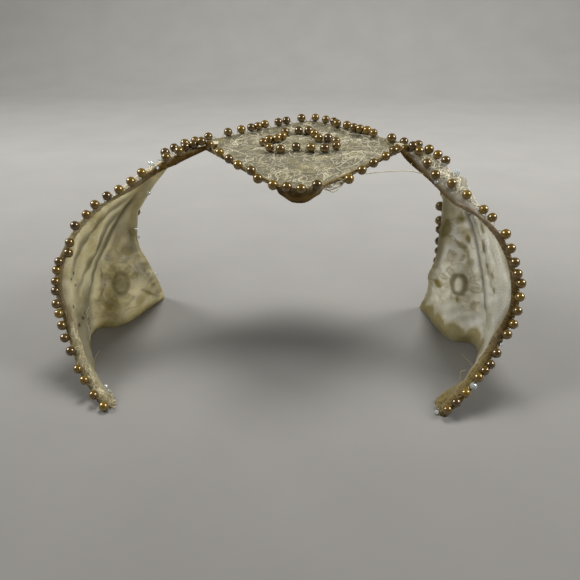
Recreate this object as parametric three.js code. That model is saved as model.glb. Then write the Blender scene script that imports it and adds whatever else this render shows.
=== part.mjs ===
// Bridal crown: a lace diamond that lies on top of the head, and two net wings that hang from its side
// corners, cup the sides of the head and stand on their hems. Strings of pearl beads follow every edge.
// Millimetres, +Z up, front of the crown towards -Y, origin under the middle of the crown.
import * as THREE from 'three';

// Cloth
const NET_THICKNESS = 1.2;
const HEM_THICKNESS = 1.6;
const LIP = { depth: 2.9, slant: 1.4 }; // rolled front edge of a wing: reach towards the head and the rear
const PLEAT_DEPTH = 1.1;
const PLEATS_FROM = 0.3; // shares of a wing's length where its pleats start and are fully open
const PLEATS_OPEN = 0.55;

// Beads
const BEAD_DIAMETER = 3;
const BEAD_SIDES = 10;
const TUBE_SIDES = 8;
const TUBE_STEP = 6; // length of one step of a plain tube
const THREAD_DIAMETER = 1;
const BEAD_PITCH = 4.5;
const BEAD_OUT = 1.2; // bead centres beyond the edge of the diamond
const BEAD_LIFT = 2.2; // bead centres above the middle of the cloth, beside its edge
const RING_LIFT = 2.4;
const HEM_BEAD_LIFT = 3;
const LOWEST_BEAD = 1.8; // height of the bead centres next to the floor
const MISSING_BEAD = 11; // place of the lost bead, counted from the left of the diamond's front edge

// The soft band is twisted to the right above its widest height and to the left below it
const LEAN = 4.8; // at this height above the widest height
const LEAN_RISE = 37;
const WIDEST_HEIGHT = 29;
const SHIFT = { x: 0.8, y: -0.5 }; // brings the origin under the middle of the crown

// Diamond: half width at its blunt side corners, its places along Y and its heights
const DIAMOND = {
  halfWidth: 32.5,
  cornerHalfDepth: 3.5,
  cornerY: 15.5,
  tipX: 3, // the front tip points a little to the right
  tipY: -16.2,
  tailY: 42.5,
  tipRound: 9,
  tailRound: 3,
  cornerHeight: 66,
  backRise: 0.09, // rise per millimetre towards the tail
  frontDroop: 3.5,
  tipRoll: 3, // length of the front tip that is rolled down
  tipDrop: 2.2,
  foldY: -14.3, // the front beads round the tip along the fold of the roll
  foldRound: 13,
  columns: 20,
  rows: 8,
};

// Oval ring of beads on the diamond, measured through the bead centres
const RING = { halfWidth: 11.4, halfDepth: 8, x: -2.2, y: 18, beads: 17 };

// Right wing before the lean: four lines from the diamond's corner down to the hem. A wing's own sag lowers
// the front edge and its own bow moves the back edge outwards, by the shares in these columns
const WING_LINES = {
  front: [
    { x: 32.9, y: 12, z: 66 },
    { x: 42.5, y: 4.5, z: 64.2, sag: 1 },
    { x: 50, y: -0.6, z: 59, sag: 0.4 },
    { x: 65.6, y: -10, z: 44.3 },
    { x: 72.1, y: -16.8, z: 28.7 },
    { x: 68, y: -24, z: 16.8 },
    { x: 61, y: -33.5, z: 7.5 },
    { x: 50, y: -42.8, z: 0 },
  ],
  rib: [
    { x: 32.9, y: 14.5, z: 66.3 },
    { x: 42.8, y: 7, z: 64.6 },
    { x: 49, y: 2.6, z: 59.9 },
    { x: 57, y: 4, z: 51.5 },
    { x: 65.5, y: 4, z: 35.5 },
    { x: 72, y: 2.8, z: 19 },
    { x: 74.5, y: 1, z: 0 },
  ],
  cheek: [
    { x: 32.9, y: 16.8, z: 66.3 },
    { x: 42.6, y: 9, z: 64.4 },
    { x: 48, y: 4.2, z: 59 },
    { x: 53.5, y: 3.4, z: 49 },
    { x: 57.8, y: 2.6, z: 35 },
    { x: 61.5, y: 4.5, z: 18 },
    { x: 63, y: 3.5, z: 0 },
  ],
  back: [
    { x: 32.9, y: 19, z: 66 },
    { x: 42, y: 11, z: 63.8 },
    { x: 46.8, y: 5.6, z: 58 },
    { x: 49, y: 1.5, z: 48, bow: 0.9 },
    { x: 50, y: 3, z: 36, bow: 1 },
    { x: 50.5, y: 10, z: 25, bow: 0.8 },
    { x: 52, y: 19, z: 12.7, bow: 0.4 },
    { x: 53, y: 28, z: 0 },
  ],
};
const WING_ROWS = 16;
// Steps across a wing: rolled lip, pleated front panel, rounded rib, and the two halves of the rear panel
const WING_STEPS = { lip: 2, pleats: 6, rib: 3, cheek: 2, rear: 3 };
// Shares of the way from the rib to the front edge and to the cheek where its rounding starts
const RIB_ROUND = { front: 0.16, cheek: 0.4 };

// Bead strings on a wing's edges: the line beside the edge, the side of the cloth that faces out, the bead
// centres' places beyond the edge and above the cloth, and the shares of the edge where the string runs
const WING_EDGES = {
  front: { beside: 'rib', turn: -1, beadOut: 1.2, beadLift: 2.2, from: 0.03, to: 0.985 },
  back: { beside: 'cheek', turn: 1, beadOut: 0.8, beadLift: 2.9, from: 0.07, to: 0.94 },
};
const EDGE_STEPS = 24;

// The two wings: the side each is on, how far its front edge sags at the neck and how far its back edge bows
const WINGS = [
  { name: 'left', side: -1, sag: 0, bow: 5 },
  { name: 'right', side: 1, sag: 2, bow: 2 },
];

// Finishes
const lace = { color: 0xe6dfc4, roughness: 0.85, metalness: 0 };
const net = { color: 0xd9d2b0, roughness: 0.9, metalness: 0 };
const pearl = { color: 0x967d50, roughness: 0.25, metalness: 0.6 };

const smoothCurve = (points) => new THREE.CatmullRomCurve3(points, false, 'centripetal');

// Places a point of the right half on either side, with the lean
function place(side, { x, y, z }) {
  const lean = LEAN * ((z - WIDEST_HEIGHT) / LEAN_RISE) ** 3;
  return new THREE.Vector3(side * x + lean + SHIFT.x, y + SHIFT.y, z);
}

// Six times the volume inside a closed mesh, negative where its faces point inwards
function signedVolume(points, index) {
  let volume = 0;
  for (let i = 0; i < index.length; i += 3) {
    const [a, b, c] = [points[index[i]], points[index[i + 1]], points[index[i + 2]]];
    volume += a.dot(b.clone().cross(c));
  }
  return volume;
}

// A closed mesh from points and triangles, turned so that its faces point outwards
function closedMesh(points, index) {
  const geometry = new THREE.BufferGeometry().setFromPoints(points);
  const outward = signedVolume(points, index) > 0;
  geometry.setIndex(outward ? index : index.toReversed());
  geometry.computeVertexNormals();
  return geometry;
}

// Unit normals of a grid of points, from its neighbours along and across
function gridNormals(grid) {
  const lastRow = grid.length - 1;
  const lastColumn = grid[0].length - 1;
  return grid.map((row, r) => row.map((_, c) => {
    const along = grid[Math.min(r + 1, lastRow)][c].clone().sub(grid[Math.max(r - 1, 0)][c]);
    const across = row[Math.min(c + 1, lastColumn)].clone().sub(row[Math.max(c - 1, 0)]);
    return across.cross(along).normalize();
  }));
}

// A cloth wall about a grid of points; halfThickness(row, column) gives the half of its thickness
function clothWall(grid, halfThickness, level = (point) => point) {
  const normals = gridNormals(grid);
  const rows = grid.length;
  const columns = grid[0].length;
  const points = [];
  for (const face of [1, -1]) {
    grid.forEach((row, r) => row.forEach((middle, c) => {
      const offset = normals[r][c].clone().multiplyScalar(face * halfThickness(r, c));
      points.push(level(middle.clone().add(offset), r));
    }));
  }
  const at = (face, r, c) => face * rows * columns + r * columns + c;
  const index = [];
  const quad = (a, b, c, d) => index.push(a, b, c, a, c, d);
  for (let r = 0; r < rows - 1; r += 1) {
    for (let c = 0; c < columns - 1; c += 1) {
      quad(at(0, r, c), at(0, r + 1, c), at(0, r + 1, c + 1), at(0, r, c + 1));
      quad(at(1, r, c), at(1, r, c + 1), at(1, r + 1, c + 1), at(1, r + 1, c));
    }
    quad(at(0, r, 0), at(1, r, 0), at(1, r + 1, 0), at(0, r + 1, 0));
    quad(at(0, r, columns - 1), at(0, r + 1, columns - 1), at(1, r + 1, columns - 1), at(1, r, columns - 1));
  }
  for (let c = 0; c < columns - 1; c += 1) {
    quad(at(0, 0, c), at(0, 0, c + 1), at(1, 0, c + 1), at(1, 0, c));
    quad(at(0, rows - 1, c), at(1, rows - 1, c), at(1, rows - 1, c + 1), at(0, rows - 1, c + 1));
  }
  return closedMesh(points, index);
}

// Distances along a string and radii there: each bead is a drum with sloping shoulders between bits of thread
function beadProfile(centres) {
  const thread = THREAD_DIAMETER / 2;
  const radius = BEAD_DIAMETER / 2;
  const neck = Math.sqrt(radius ** 2 - thread ** 2);
  const shoulder = { reach: 0.45 * radius, radius: 0.95 * radius };
  return centres.flatMap((centre) => [
    { at: centre - neck, radius: thread },
    { at: centre - shoulder.reach, radius: shoulder.radius },
    { at: centre + shoulder.reach, radius: shoulder.radius },
    { at: centre + neck, radius: thread },
  ]);
}

// Beads threaded on a curve and fused to their thread; centres are distances along the curve
function beadString(curve, centres, closed = false) {
  const length = curve.getLength();
  const points = [];
  const side = new THREE.Vector3(0, 0, 1);
  const profile = beadProfile(centres);
  for (const ring of profile) {
    const share = THREE.MathUtils.clamp(ring.at / length, 0, 1);
    const middle = curve.getPointAt(closed ? (ring.at / length + 1) % 1 : share);
    const tangent = curve.getTangentAt(closed ? (ring.at / length + 1) % 1 : share);
    side.addScaledVector(tangent, -side.dot(tangent)).normalize();
    const other = tangent.clone().cross(side);
    for (let s = 0; s < BEAD_SIDES; s += 1) {
      const angle = (2 * Math.PI * s) / BEAD_SIDES;
      points.push(middle.clone()
        .addScaledVector(side, ring.radius * Math.cos(angle))
        .addScaledVector(other, ring.radius * Math.sin(angle)));
    }
  }
  const index = [];
  const rings = profile.length;
  const at = (r, s) => (r % rings) * BEAD_SIDES + (s % BEAD_SIDES);
  for (let r = 0; r < (closed ? rings : rings - 1); r += 1) {
    for (let s = 0; s < BEAD_SIDES; s += 1) {
      index.push(at(r, s), at(r + 1, s), at(r + 1, s + 1), at(r, s), at(r + 1, s + 1), at(r, s + 1));
    }
  }
  if (!closed) {
    for (let s = 1; s < BEAD_SIDES - 1; s += 1) {
      index.push(at(0, 0), at(0, s), at(0, s + 1));
      index.push(at(rings - 1, 0), at(rings - 1, s + 1), at(rings - 1, s));
    }
  }
  return closedMesh(points, index);
}

// Bead centres along an open curve, as near to the usual pitch as whole beads allow, less any missing ones
function evenCentres(curve, missing = []) {
  const run = curve.getLength() - BEAD_DIAMETER;
  const gaps = Math.round(run / BEAD_PITCH);
  const all = Array.from({ length: gaps + 1 }, (_, i) => BEAD_DIAMETER / 2 + (run * i) / gaps);
  return all.filter((_, i) => !missing.includes(i));
}

// A plain round tube as thick as the beads, where a string is too fine to thread bead by bead
function plainTube(curve) {
  const outline = Array.from({ length: TUBE_SIDES }, (_, i) => {
    const angle = (2 * Math.PI * i) / TUBE_SIDES;
    return new THREE.Vector2(Math.cos(angle), Math.sin(angle)).multiplyScalar(BEAD_DIAMETER / 2);
  });
  const steps = Math.ceil(curve.getLength() / TUBE_STEP);
  return new THREE.ExtrudeGeometry(new THREE.Shape(outline), { extrudePath: curve, steps });
}

// Diamond outline: Y of an edge that runs from its rounded end out to the side corners
function diamondEdge(x, endX, endY, round) {
  const corner = x < endX ? -DIAMOND.halfWidth : DIAMOND.halfWidth;
  const rounded = (distance) => Math.hypot(distance, round) - round;
  const share = rounded(x - endX) / rounded(corner - endX);
  const cornerEdge = DIAMOND.cornerY + Math.sign(endY - DIAMOND.cornerY) * DIAMOND.cornerHalfDepth;
  return THREE.MathUtils.lerp(endY, cornerEdge, share);
}
const diamondFront = (x) => diamondEdge(x, DIAMOND.tipX, DIAMOND.tipY, DIAMOND.tipRound);
const diamondFold = (x) => diamondEdge(x, DIAMOND.tipX, DIAMOND.foldY, DIAMOND.foldRound);
const diamondBack = (x) => diamondEdge(x, 0, DIAMOND.tailY, DIAMOND.tailRound);

// Height of the middle of the diamond's lace: it rises to the tail and droops to the rolled front tip
function diamondHeight(y) {
  const forward = Math.max(0, DIAMOND.cornerY - y) / (DIAMOND.cornerY - DIAMOND.tipY);
  const roll = Math.max(0, DIAMOND.tipY + DIAMOND.tipRoll - y) / DIAMOND.tipRoll;
  const rise = DIAMOND.backRise * (y - DIAMOND.cornerY);
  return DIAMOND.cornerHeight + rise - DIAMOND.frontDroop * forward ** 2 - DIAMOND.tipDrop * roll ** 2;
}
const diamondPoint = (x, y) => new THREE.Vector3(x, y, diamondHeight(y));

function diamondLace() {
  const grid = [];
  for (let c = 0; c <= DIAMOND.columns; c += 1) {
    const x = DIAMOND.halfWidth * ((2 * c) / DIAMOND.columns - 1);
    const front = diamondFront(x);
    const back = diamondBack(x);
    const row = [];
    for (let r = 0; r <= DIAMOND.rows; r += 1) {
      row.push(place(1, diamondPoint(x, THREE.MathUtils.lerp(front, back, r / DIAMOND.rows))));
    }
    grid.push(row);
  }
  return clothWall(grid, (_, r) => {
    const edge = r === 0 || r === DIAMOND.rows;
    return (edge ? HEM_THICKNESS : NET_THICKNESS) / 2;
  });
}

// Path of the bead centres along one edge of the diamond, from the left corner to the right
function diamondBeadPath(edge, outwards) {
  const steps = DIAMOND.columns;
  const reach = DIAMOND.halfWidth - BEAD_DIAMETER / 2;
  const points = [];
  for (let c = 0; c <= steps; c += 1) {
    const x = reach * ((2 * c) / steps - 1);
    const bead = diamondPoint(x, edge(x));
    bead.y += outwards * BEAD_OUT;
    bead.z += BEAD_LIFT;
    points.push(place(1, bead));
  }
  return smoothCurve(points);
}

function diamondRing() {
  const points = [];
  for (let i = 0; i < RING.beads; i += 1) {
    const angle = (2 * Math.PI * i) / RING.beads;
    const x = RING.x + RING.halfWidth * Math.cos(angle);
    const bead = diamondPoint(x, RING.y + RING.halfDepth * Math.sin(angle));
    bead.z += RING_LIFT;
    points.push(place(1, bead));
  }
  const curve = new THREE.CatmullRomCurve3(points, true, 'centripetal');
  const pitch = curve.getLength() / RING.beads;
  return beadString(curve, Array.from({ length: RING.beads }, (_, i) => (i + 0.5) * pitch), true);
}

// One net wing; it is worked out on the right and then placed on its own side
class Wing {
  constructor(side, sag, bow) {
    this.side = side;
    this.curves = {};
    for (const [line, rows] of Object.entries(WING_LINES)) {
      this.curves[line] = smoothCurve(rows.map((row) => {
        const { x, y, z } = row;
        return new THREE.Vector3(x + bow * (row.bow ?? 0), y, z - sag * (row.sag ?? 0));
      }));
    }
  }

  // Directions at a share of one edge: past the edge of the cloth, and out of its outer face
  edgeDirections(share, edge) {
    const { beside, turn } = WING_EDGES[edge];
    const along = this.curves[edge].getTangentAt(share);
    const inwards = this.curves[beside].getPointAt(share).sub(this.curves[edge].getPointAt(share));
    inwards.addScaledVector(along, -inwards.dot(along)).normalize();
    const outer = inwards.clone().cross(along).multiplyScalar(turn);
    return { out: inwards.negate(), outer };
  }

  // One section, from the rolled lip round to the back edge
  section(share, pleatDepth) {
    const [front, rib, cheek, back] = Object.values(this.curves).map((curve) => curve.getPointAt(share));
    const { out, outer } = this.edgeDirections(share, 'front');
    const lip = front.clone().addScaledVector(outer, -LIP.depth).addScaledVector(out, -LIP.slant);
    const ribStart = rib.clone().lerp(front, RIB_ROUND.front);
    const ribEnd = rib.clone().lerp(cheek, RIB_ROUND.cheek);
    const curve = smoothCurve([lip, front, ribStart, ribEnd, cheek, back]);
    const opened = THREE.MathUtils.smoothstep(share, PLEATS_FROM, PLEATS_OPEN);
    const spans = Object.entries(WING_STEPS);
    const points = [];
    spans.forEach(([span, steps], s) => {
      for (let i = 0; i < steps; i += 1) {
        const point = curve.getPoint((s + i / steps) / spans.length);
        const pleat = span === 'pleats' && i % 2 === 1;
        points.push(pleat ? point.addScaledVector(outer, -pleatDepth * opened) : point);
      }
    });
    points.push(back);
    return points.map((point) => place(this.side, share === 1 ? point.setZ(0) : point));
  }

  // The net itself: a wall that is thicker along its lip, its back edge and its hem, cut level at the hem
  net() {
    const grid = [];
    for (let r = 0; r <= WING_ROWS; r += 1) {
      grid.push(this.section(r / WING_ROWS, PLEAT_DEPTH));
    }
    const lastColumn = grid[0].length - 1;
    const halfThickness = (r, c) => {
      const hem = c <= WING_STEPS.lip || c === lastColumn || r >= WING_ROWS - 1;
      return (hem ? HEM_THICKNESS : NET_THICKNESS) / 2;
    };
    const level = (point, r) => (r === WING_ROWS ? point.setZ(0) : point);
    return clothWall(grid, halfThickness, level);
  }

  // Path of the bead centres along the front or back edge
  edgePath(edge) {
    const { beadOut, beadLift, from, to } = WING_EDGES[edge];
    const points = [];
    for (let i = 0; i <= EDGE_STEPS; i += 1) {
      const share = THREE.MathUtils.lerp(from, to, i / EDGE_STEPS);
      const { out, outer } = this.edgeDirections(share, edge);
      const bead = this.curves[edge].getPointAt(share);
      bead.addScaledVector(out, beadOut).addScaledVector(outer, beadLift);
      points.push(place(this.side, bead.setZ(Math.max(bead.z, LOWEST_BEAD))));
    }
    return smoothCurve(points);
  }

  // Path of the bead centres round the outside of the hem, from the middle of the pleats to the back edge
  hemPath() {
    const hem = this.section(1, 0).slice(WING_STEPS.lip + WING_STEPS.pleats / 2);
    const points = hem.slice(1, -1).map((point, i) => {
      const along = hem[i + 2].clone().sub(hem[i]).normalize();
      const outer = new THREE.Vector3(along.y, -along.x, 0).multiplyScalar(this.side);
      return point.clone().addScaledVector(outer, HEM_BEAD_LIFT).setZ(LOWEST_BEAD);
    });
    return smoothCurve(points);
  }
}

const crown = new THREE.Group();

function addPiece(name, geometry, finish) {
  const mesh = new THREE.Mesh(geometry, new THREE.MeshStandardMaterial(finish));
  mesh.name = name;
  crown.add(mesh);
}

const frontBeads = diamondBeadPath(diamondFold, -1);
const backBeads = diamondBeadPath(diamondBack, 1);
addPiece('lace_diamond', diamondLace(), lace);
addPiece('beads_diamond_front', beadString(frontBeads, evenCentres(frontBeads, [MISSING_BEAD])), pearl);
addPiece('beads_diamond_back', beadString(backBeads, evenCentres(backBeads)), pearl);
addPiece('beads_diamond_ring', diamondRing(), pearl);

for (const { name, side, sag, bow } of WINGS) {
  const wing = new Wing(side, sag, bow);
  const edgeBeads = wing.edgePath('front');
  addPiece(`net_wing_${name}`, wing.net(), net);
  addPiece(`beads_front_${name}`, beadString(edgeBeads, evenCentres(edgeBeads)), pearl);
  addPiece(`beads_back_${name}`, plainTube(wing.edgePath('back')), pearl);
  addPiece(`beads_hem_${name}`, plainTube(wing.hemPath()), pearl);
}

export default crown;
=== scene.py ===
"""Bridal crown of ivory lace and aged net, its edges sewn with bronze pearls.

Shapes are worked out in millimetres and become metres when a mesh is made. The crown's lines are those of
its solids: +Z up, front towards -Y, origin under its middle. Places read off the photograph are pixels of
its frame.
"""
import logging
import math
from dataclasses import dataclass, field
from enum import Enum
from typing import Any, ClassVar, NamedTuple, Sequence

import bmesh
import bpy
import numpy as np
from mathutils import Matrix, Vector
from mathutils.bvhtree import BVHTree


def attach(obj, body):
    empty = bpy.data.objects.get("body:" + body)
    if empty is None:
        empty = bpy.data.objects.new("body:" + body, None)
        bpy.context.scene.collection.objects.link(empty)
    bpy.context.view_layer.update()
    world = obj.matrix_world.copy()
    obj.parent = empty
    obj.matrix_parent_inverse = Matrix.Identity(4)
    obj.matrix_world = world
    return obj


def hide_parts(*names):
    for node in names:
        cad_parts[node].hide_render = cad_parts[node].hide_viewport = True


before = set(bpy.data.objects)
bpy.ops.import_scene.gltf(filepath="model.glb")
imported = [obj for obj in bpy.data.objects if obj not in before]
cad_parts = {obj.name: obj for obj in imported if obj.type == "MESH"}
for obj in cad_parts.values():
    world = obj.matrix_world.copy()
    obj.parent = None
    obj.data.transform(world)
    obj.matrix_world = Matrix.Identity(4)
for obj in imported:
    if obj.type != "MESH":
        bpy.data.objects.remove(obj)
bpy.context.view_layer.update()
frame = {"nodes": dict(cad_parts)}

MM = 0.001
BODY = "root"
LOG = logging.getLogger("bridal_crown")
Array, Generator = np.ndarray, np.random.Generator
Material, Node, Object = bpy.types.Material, bpy.types.Node, bpy.types.Object
Pair, Triple = tuple[float, float], tuple[float, float, float]
Pixels = Sequence[Pair]
Spots = Sequence[Triple]


# Small helpers

def linear(code: str) -> tuple[float, float, float, float]:
    """Linear colour of an sRGB hex code.

    Args:
        code: colour as "#rrggbb".

    Returns:
        Linear red, green and blue, and full opacity.
    """
    parts = [int(code[i:i + 2], 16) / 255 for i in (1, 3, 5)]
    red, green, blue = (c / 12.92 if c <= 0.04045 else ((c + 0.055) / 1.055) ** 2.4 for c in parts)
    return red, green, blue, 1.0


def add(tree: bpy.types.NodeTree, kind: str, inputs: dict | None = None, **settings: Any) -> Node:
    """Add a node with its settings and links.

    Args:
        tree: node tree to add to.
        kind: node type name.
        inputs: input name or index to a constant, or to the socket or node that feeds it.
        settings: node properties.

    Returns:
        The new node.
    """
    node = tree.nodes.new(kind)
    for key, value in settings.items():
        setattr(node, key, value)
    for key, value in (inputs or {}).items():
        if isinstance(value, Node):
            value = value.outputs[0]
        if isinstance(value, bpy.types.NodeSocket):
            tree.links.new(value, node.inputs[key])
        else:
            node.inputs[key].default_value = value
    return node


def smoothstep(values: Array | float, low: Array | float, high: Array | float) -> Array:
    """Smooth rise from 0 at low to 1 at high."""
    t = np.clip((np.asarray(values, float) - low) / (high - low), 0, 1)
    return t * t * (3 - 2 * t)


def fall(values: Array | float, low: Array | float, high: Array | float) -> Array:
    """Smooth fall from 1 at low to 0 at high."""
    return 1 - smoothstep(values, low, high)


def strongest(*marks: tuple[float, Array]) -> Array:
    """The greatest of several marks, each weighed by the strength before it."""
    return np.maximum.reduce([strength * mark for strength, mark in marks])


def unit(vectors: Array) -> Array:
    """Vectors scaled to length 1 along the last axis."""
    return vectors / np.maximum(np.linalg.norm(vectors, axis=-1, keepdims=True), 1e-9)


def distance_to(points: Array, path: Array) -> Array:
    """Distance of points from a broken line.

    Args:
        points: any grid of places, last axis 3.
        path: corners of the line.

    Returns:
        Distances, with the grid's shape.
    """
    best = np.full(points.shape[:-1], np.inf)
    for start, end in zip(path[:-1], path[1:]):
        run = end - start
        share = np.clip((points - start) @ run / max(run @ run, 1e-9), 0, 1)
        best = np.minimum(best, np.linalg.norm(points - start - share[..., None] * run, axis=-1))
    return best


def new_object(name: str, points: Array, edges: Sequence = (), faces: Sequence = (),
               marks: dict[str, Array] | None = None) -> Object:
    """Make a mesh object at the origin.

    Args:
        name: name of the piece.
        points: vertices in millimetres.
        edges: pairs of vertex numbers.
        faces: loops of vertex numbers.
        marks: values or vectors to store on the vertices.

    Returns:
        The linked object.
    """
    mesh = bpy.data.meshes.new(name)
    mesh.from_pydata((np.asarray(points, float) * MM).tolist(), list(edges), list(faces))
    for mark, values in (marks or {}).items():
        vector = np.ndim(values) == 2
        stored = mesh.attributes.new(mark, "FLOAT_VECTOR" if vector else "FLOAT", "POINT")
        stored.data.foreach_set("vector" if vector else "value", np.asarray(values, np.float32).ravel())
    obj = bpy.data.objects.new(name, mesh)
    bpy.context.scene.collection.objects.link(obj)
    return obj


def enlist(piece: Object, slot: str | None, *replaced: str) -> None:
    """Let a piece ride on the crown and stand for its solids.

    Args:
        piece: finished object.
        slot: the record's material slot, if it has one for this piece; not used.
        replaced: names of the solids that it stands for.
    """
    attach(piece, BODY)
    if replaced:
        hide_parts(*replaced)
    LOG.info("%s: %d faces", piece.name, len(piece.data.polygons))


# Lines and places

class Side(Enum):
    """The two sides of the crown, seen from its front."""

    LEFT = -1
    RIGHT = 1

    @property
    def word(self) -> str:
        """The side's name in small letters."""
        return self.name.lower()


class Edge(Enum):
    """The two beaded edges of a wing."""

    FRONT = "front"
    BACK = "back"


class Row(NamedTuple):
    """A place on one of a wing's lines; give is its share of the wing's own sag or bow."""

    x: float
    y: float
    z: float
    give: float = 0.0


class Tuck(NamedTuple):
    """A pressed tuck of the net: how strongly it shows, and its line over the photograph."""

    strength: float
    line: Pixels


class Motif(NamedTuple):
    """A stroke of the lace pattern: half its width in millimetres, and its line over the photograph."""

    half_width: float
    line: Pixels


class SmoothCurve:
    """A centripetal curve through points, with places by share of its length."""

    DIVISIONS = 200
    NUDGE = 1e-4

    def __init__(self, points: Array | Sequence) -> None:
        """Work out the curve's spans.

        Args:
            points: places that it passes through, in any number of dimensions.
        """
        inner = np.asarray(points, float)
        p = np.vstack([2 * inner[0] - inner[1], inner, 2 * inner[-1] - inner[-2]])
        step = np.sqrt(np.maximum(np.linalg.norm(np.diff(p, axis=0), axis=1), 1e-9))[:, None]
        before, here, after = step[:-2], step[1:-1], step[2:]
        x0, x1, x2, x3 = p[:-3], p[1:-2], p[2:-1], p[3:]
        leave = ((x1 - x0) / before - (x2 - x0) / (before + here) + (x2 - x1) / here) * here
        reach = ((x2 - x1) / here - (x3 - x1) / (here + after) + (x3 - x2) / after) * here
        self.terms = (x1, leave, 3 * (x2 - x1) - 2 * leave - reach, 2 * (x1 - x2) + leave + reach)
        self.spans = len(inner) - 1
        self.marks = np.linspace(0, 1, self.DIVISIONS + 1)
        runs = np.linalg.norm(np.diff(self.at(self.marks), axis=0), axis=1)
        self.lengths = np.concatenate([[0], np.cumsum(runs)])
        self.length = float(self.lengths[-1])

    def at(self, t: Array | float) -> Array:
        """Places on the curve.

        Args:
            t: curve parameters from 0 to 1.

        Returns:
            A place for each parameter.
        """
        place = np.clip(np.asarray(t, float), 0, 1) * self.spans
        span = np.minimum(place.astype(int), self.spans - 1)
        w = (place - span)[..., None]
        a, b, c, d = (term[span] for term in self.terms)
        return a + w * (b + w * (c + w * d))

    def by_length(self, share: Array | float) -> Array:
        """Places at shares of the curve's length."""
        return self.at(np.interp(np.asarray(share) * self.length, self.lengths, self.marks))

    def tangent(self, share: Array | float) -> Array:
        """Unit directions at shares of the curve's length."""
        t = np.interp(np.asarray(share) * self.length, self.lengths, self.marks)
        return unit(self.at(t + self.NUDGE) - self.at(t - self.NUDGE))


@dataclass(frozen=True)
class Lean:
    """Twist of the soft band: to the right above its widest height, to the left below it."""

    reach: float = 4.8
    rise: float = 37.0
    widest: float = 29.0
    shift_x: float = 0.8
    shift_y: float = -0.5

    def place(self, points: Array, side: Side = Side.RIGHT) -> Array:
        """Put points of the right half on a side, with the lean.

        Args:
            points: places on the right, last axis 3.
            side: side to put them on.

        Returns:
            Places on the crown.
        """
        placed = np.array(points, float)
        lean = self.reach * ((placed[..., 2] - self.widest) / self.rise) ** 3
        placed[..., 0] = side.value * placed[..., 0] + lean + self.shift_x
        placed[..., 1] += self.shift_y
        return placed


@dataclass(frozen=True)
class View:
    """The photograph's camera: millimetres, degrees and pixels."""

    place: Triple = (19.3, -179.4, 113.2)
    yaw: float = -5.4
    pitch: float = 27.4
    roll: float = -0.5
    focal: float = 572.0
    frame: float = 580.0
    sensor: float = 36.0

    def axes(self) -> tuple[Array, Array, Array]:
        """Work out how the camera is turned.

        Returns:
            Unit vectors to the right of, up and into the picture.
        """
        yaw, pitch, roll = np.radians([self.yaw, self.pitch, self.roll])
        flat = math.cos(pitch)
        ahead = np.array([math.sin(yaw) * flat, math.cos(yaw) * flat, -math.sin(pitch)])
        level = np.array([math.cos(yaw), -math.sin(yaw), 0.0])
        above = np.cross(level, ahead)
        right = math.cos(roll) * level + math.sin(roll) * above
        up = math.cos(roll) * above - math.sin(roll) * level
        return right, up, ahead

    def pixels(self, points: Array) -> Array:
        """Find where points appear.

        Args:
            points: places, last axis 3.

        Returns:
            Their pixels.
        """
        right, up, ahead = self.axes()
        from_eye = np.asarray(points, float) - np.array(self.place)
        scale = self.focal / (from_eye @ ahead)
        return np.stack([self.frame / 2 + scale * (from_eye @ right),
                         self.frame / 2 - scale * (from_eye @ up)], -1)

    def at_depth(self, pixel: Sequence[float], like: Array) -> Array:
        """The place seen at a pixel, as deep into the picture as another place.

        Args:
            pixel: where it shows.
            like: place whose depth is taken.

        Returns:
            A place on the pixel's ray.
        """
        right, up, ahead = self.axes()
        eye = np.array(self.place)
        depth = (np.asarray(like) - eye) @ ahead
        u, v = (pixel[0] - self.frame / 2) / self.focal, (self.frame / 2 - pixel[1]) / self.focal
        return eye + depth * (ahead + u * right + v * up)

    def build(self) -> None:
        """Make the camera and hand it to the scene."""
        data = bpy.data.cameras.new("camera")
        data.sensor_width = self.sensor
        data.lens = self.sensor * self.focal / self.frame
        data.clip_start = 10 * MM
        camera = bpy.data.objects.new("camera", data)
        right, up, ahead = self.axes()
        turn = Matrix((right, up, -ahead)).transposed().to_4x4()
        camera.matrix_world = Matrix.Translation(Vector(self.place) * MM) @ turn
        bpy.context.scene.collection.objects.link(camera)
        bpy.context.scene.camera = camera


LEAN = Lean()
VIEW = View()


# Finishes

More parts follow.
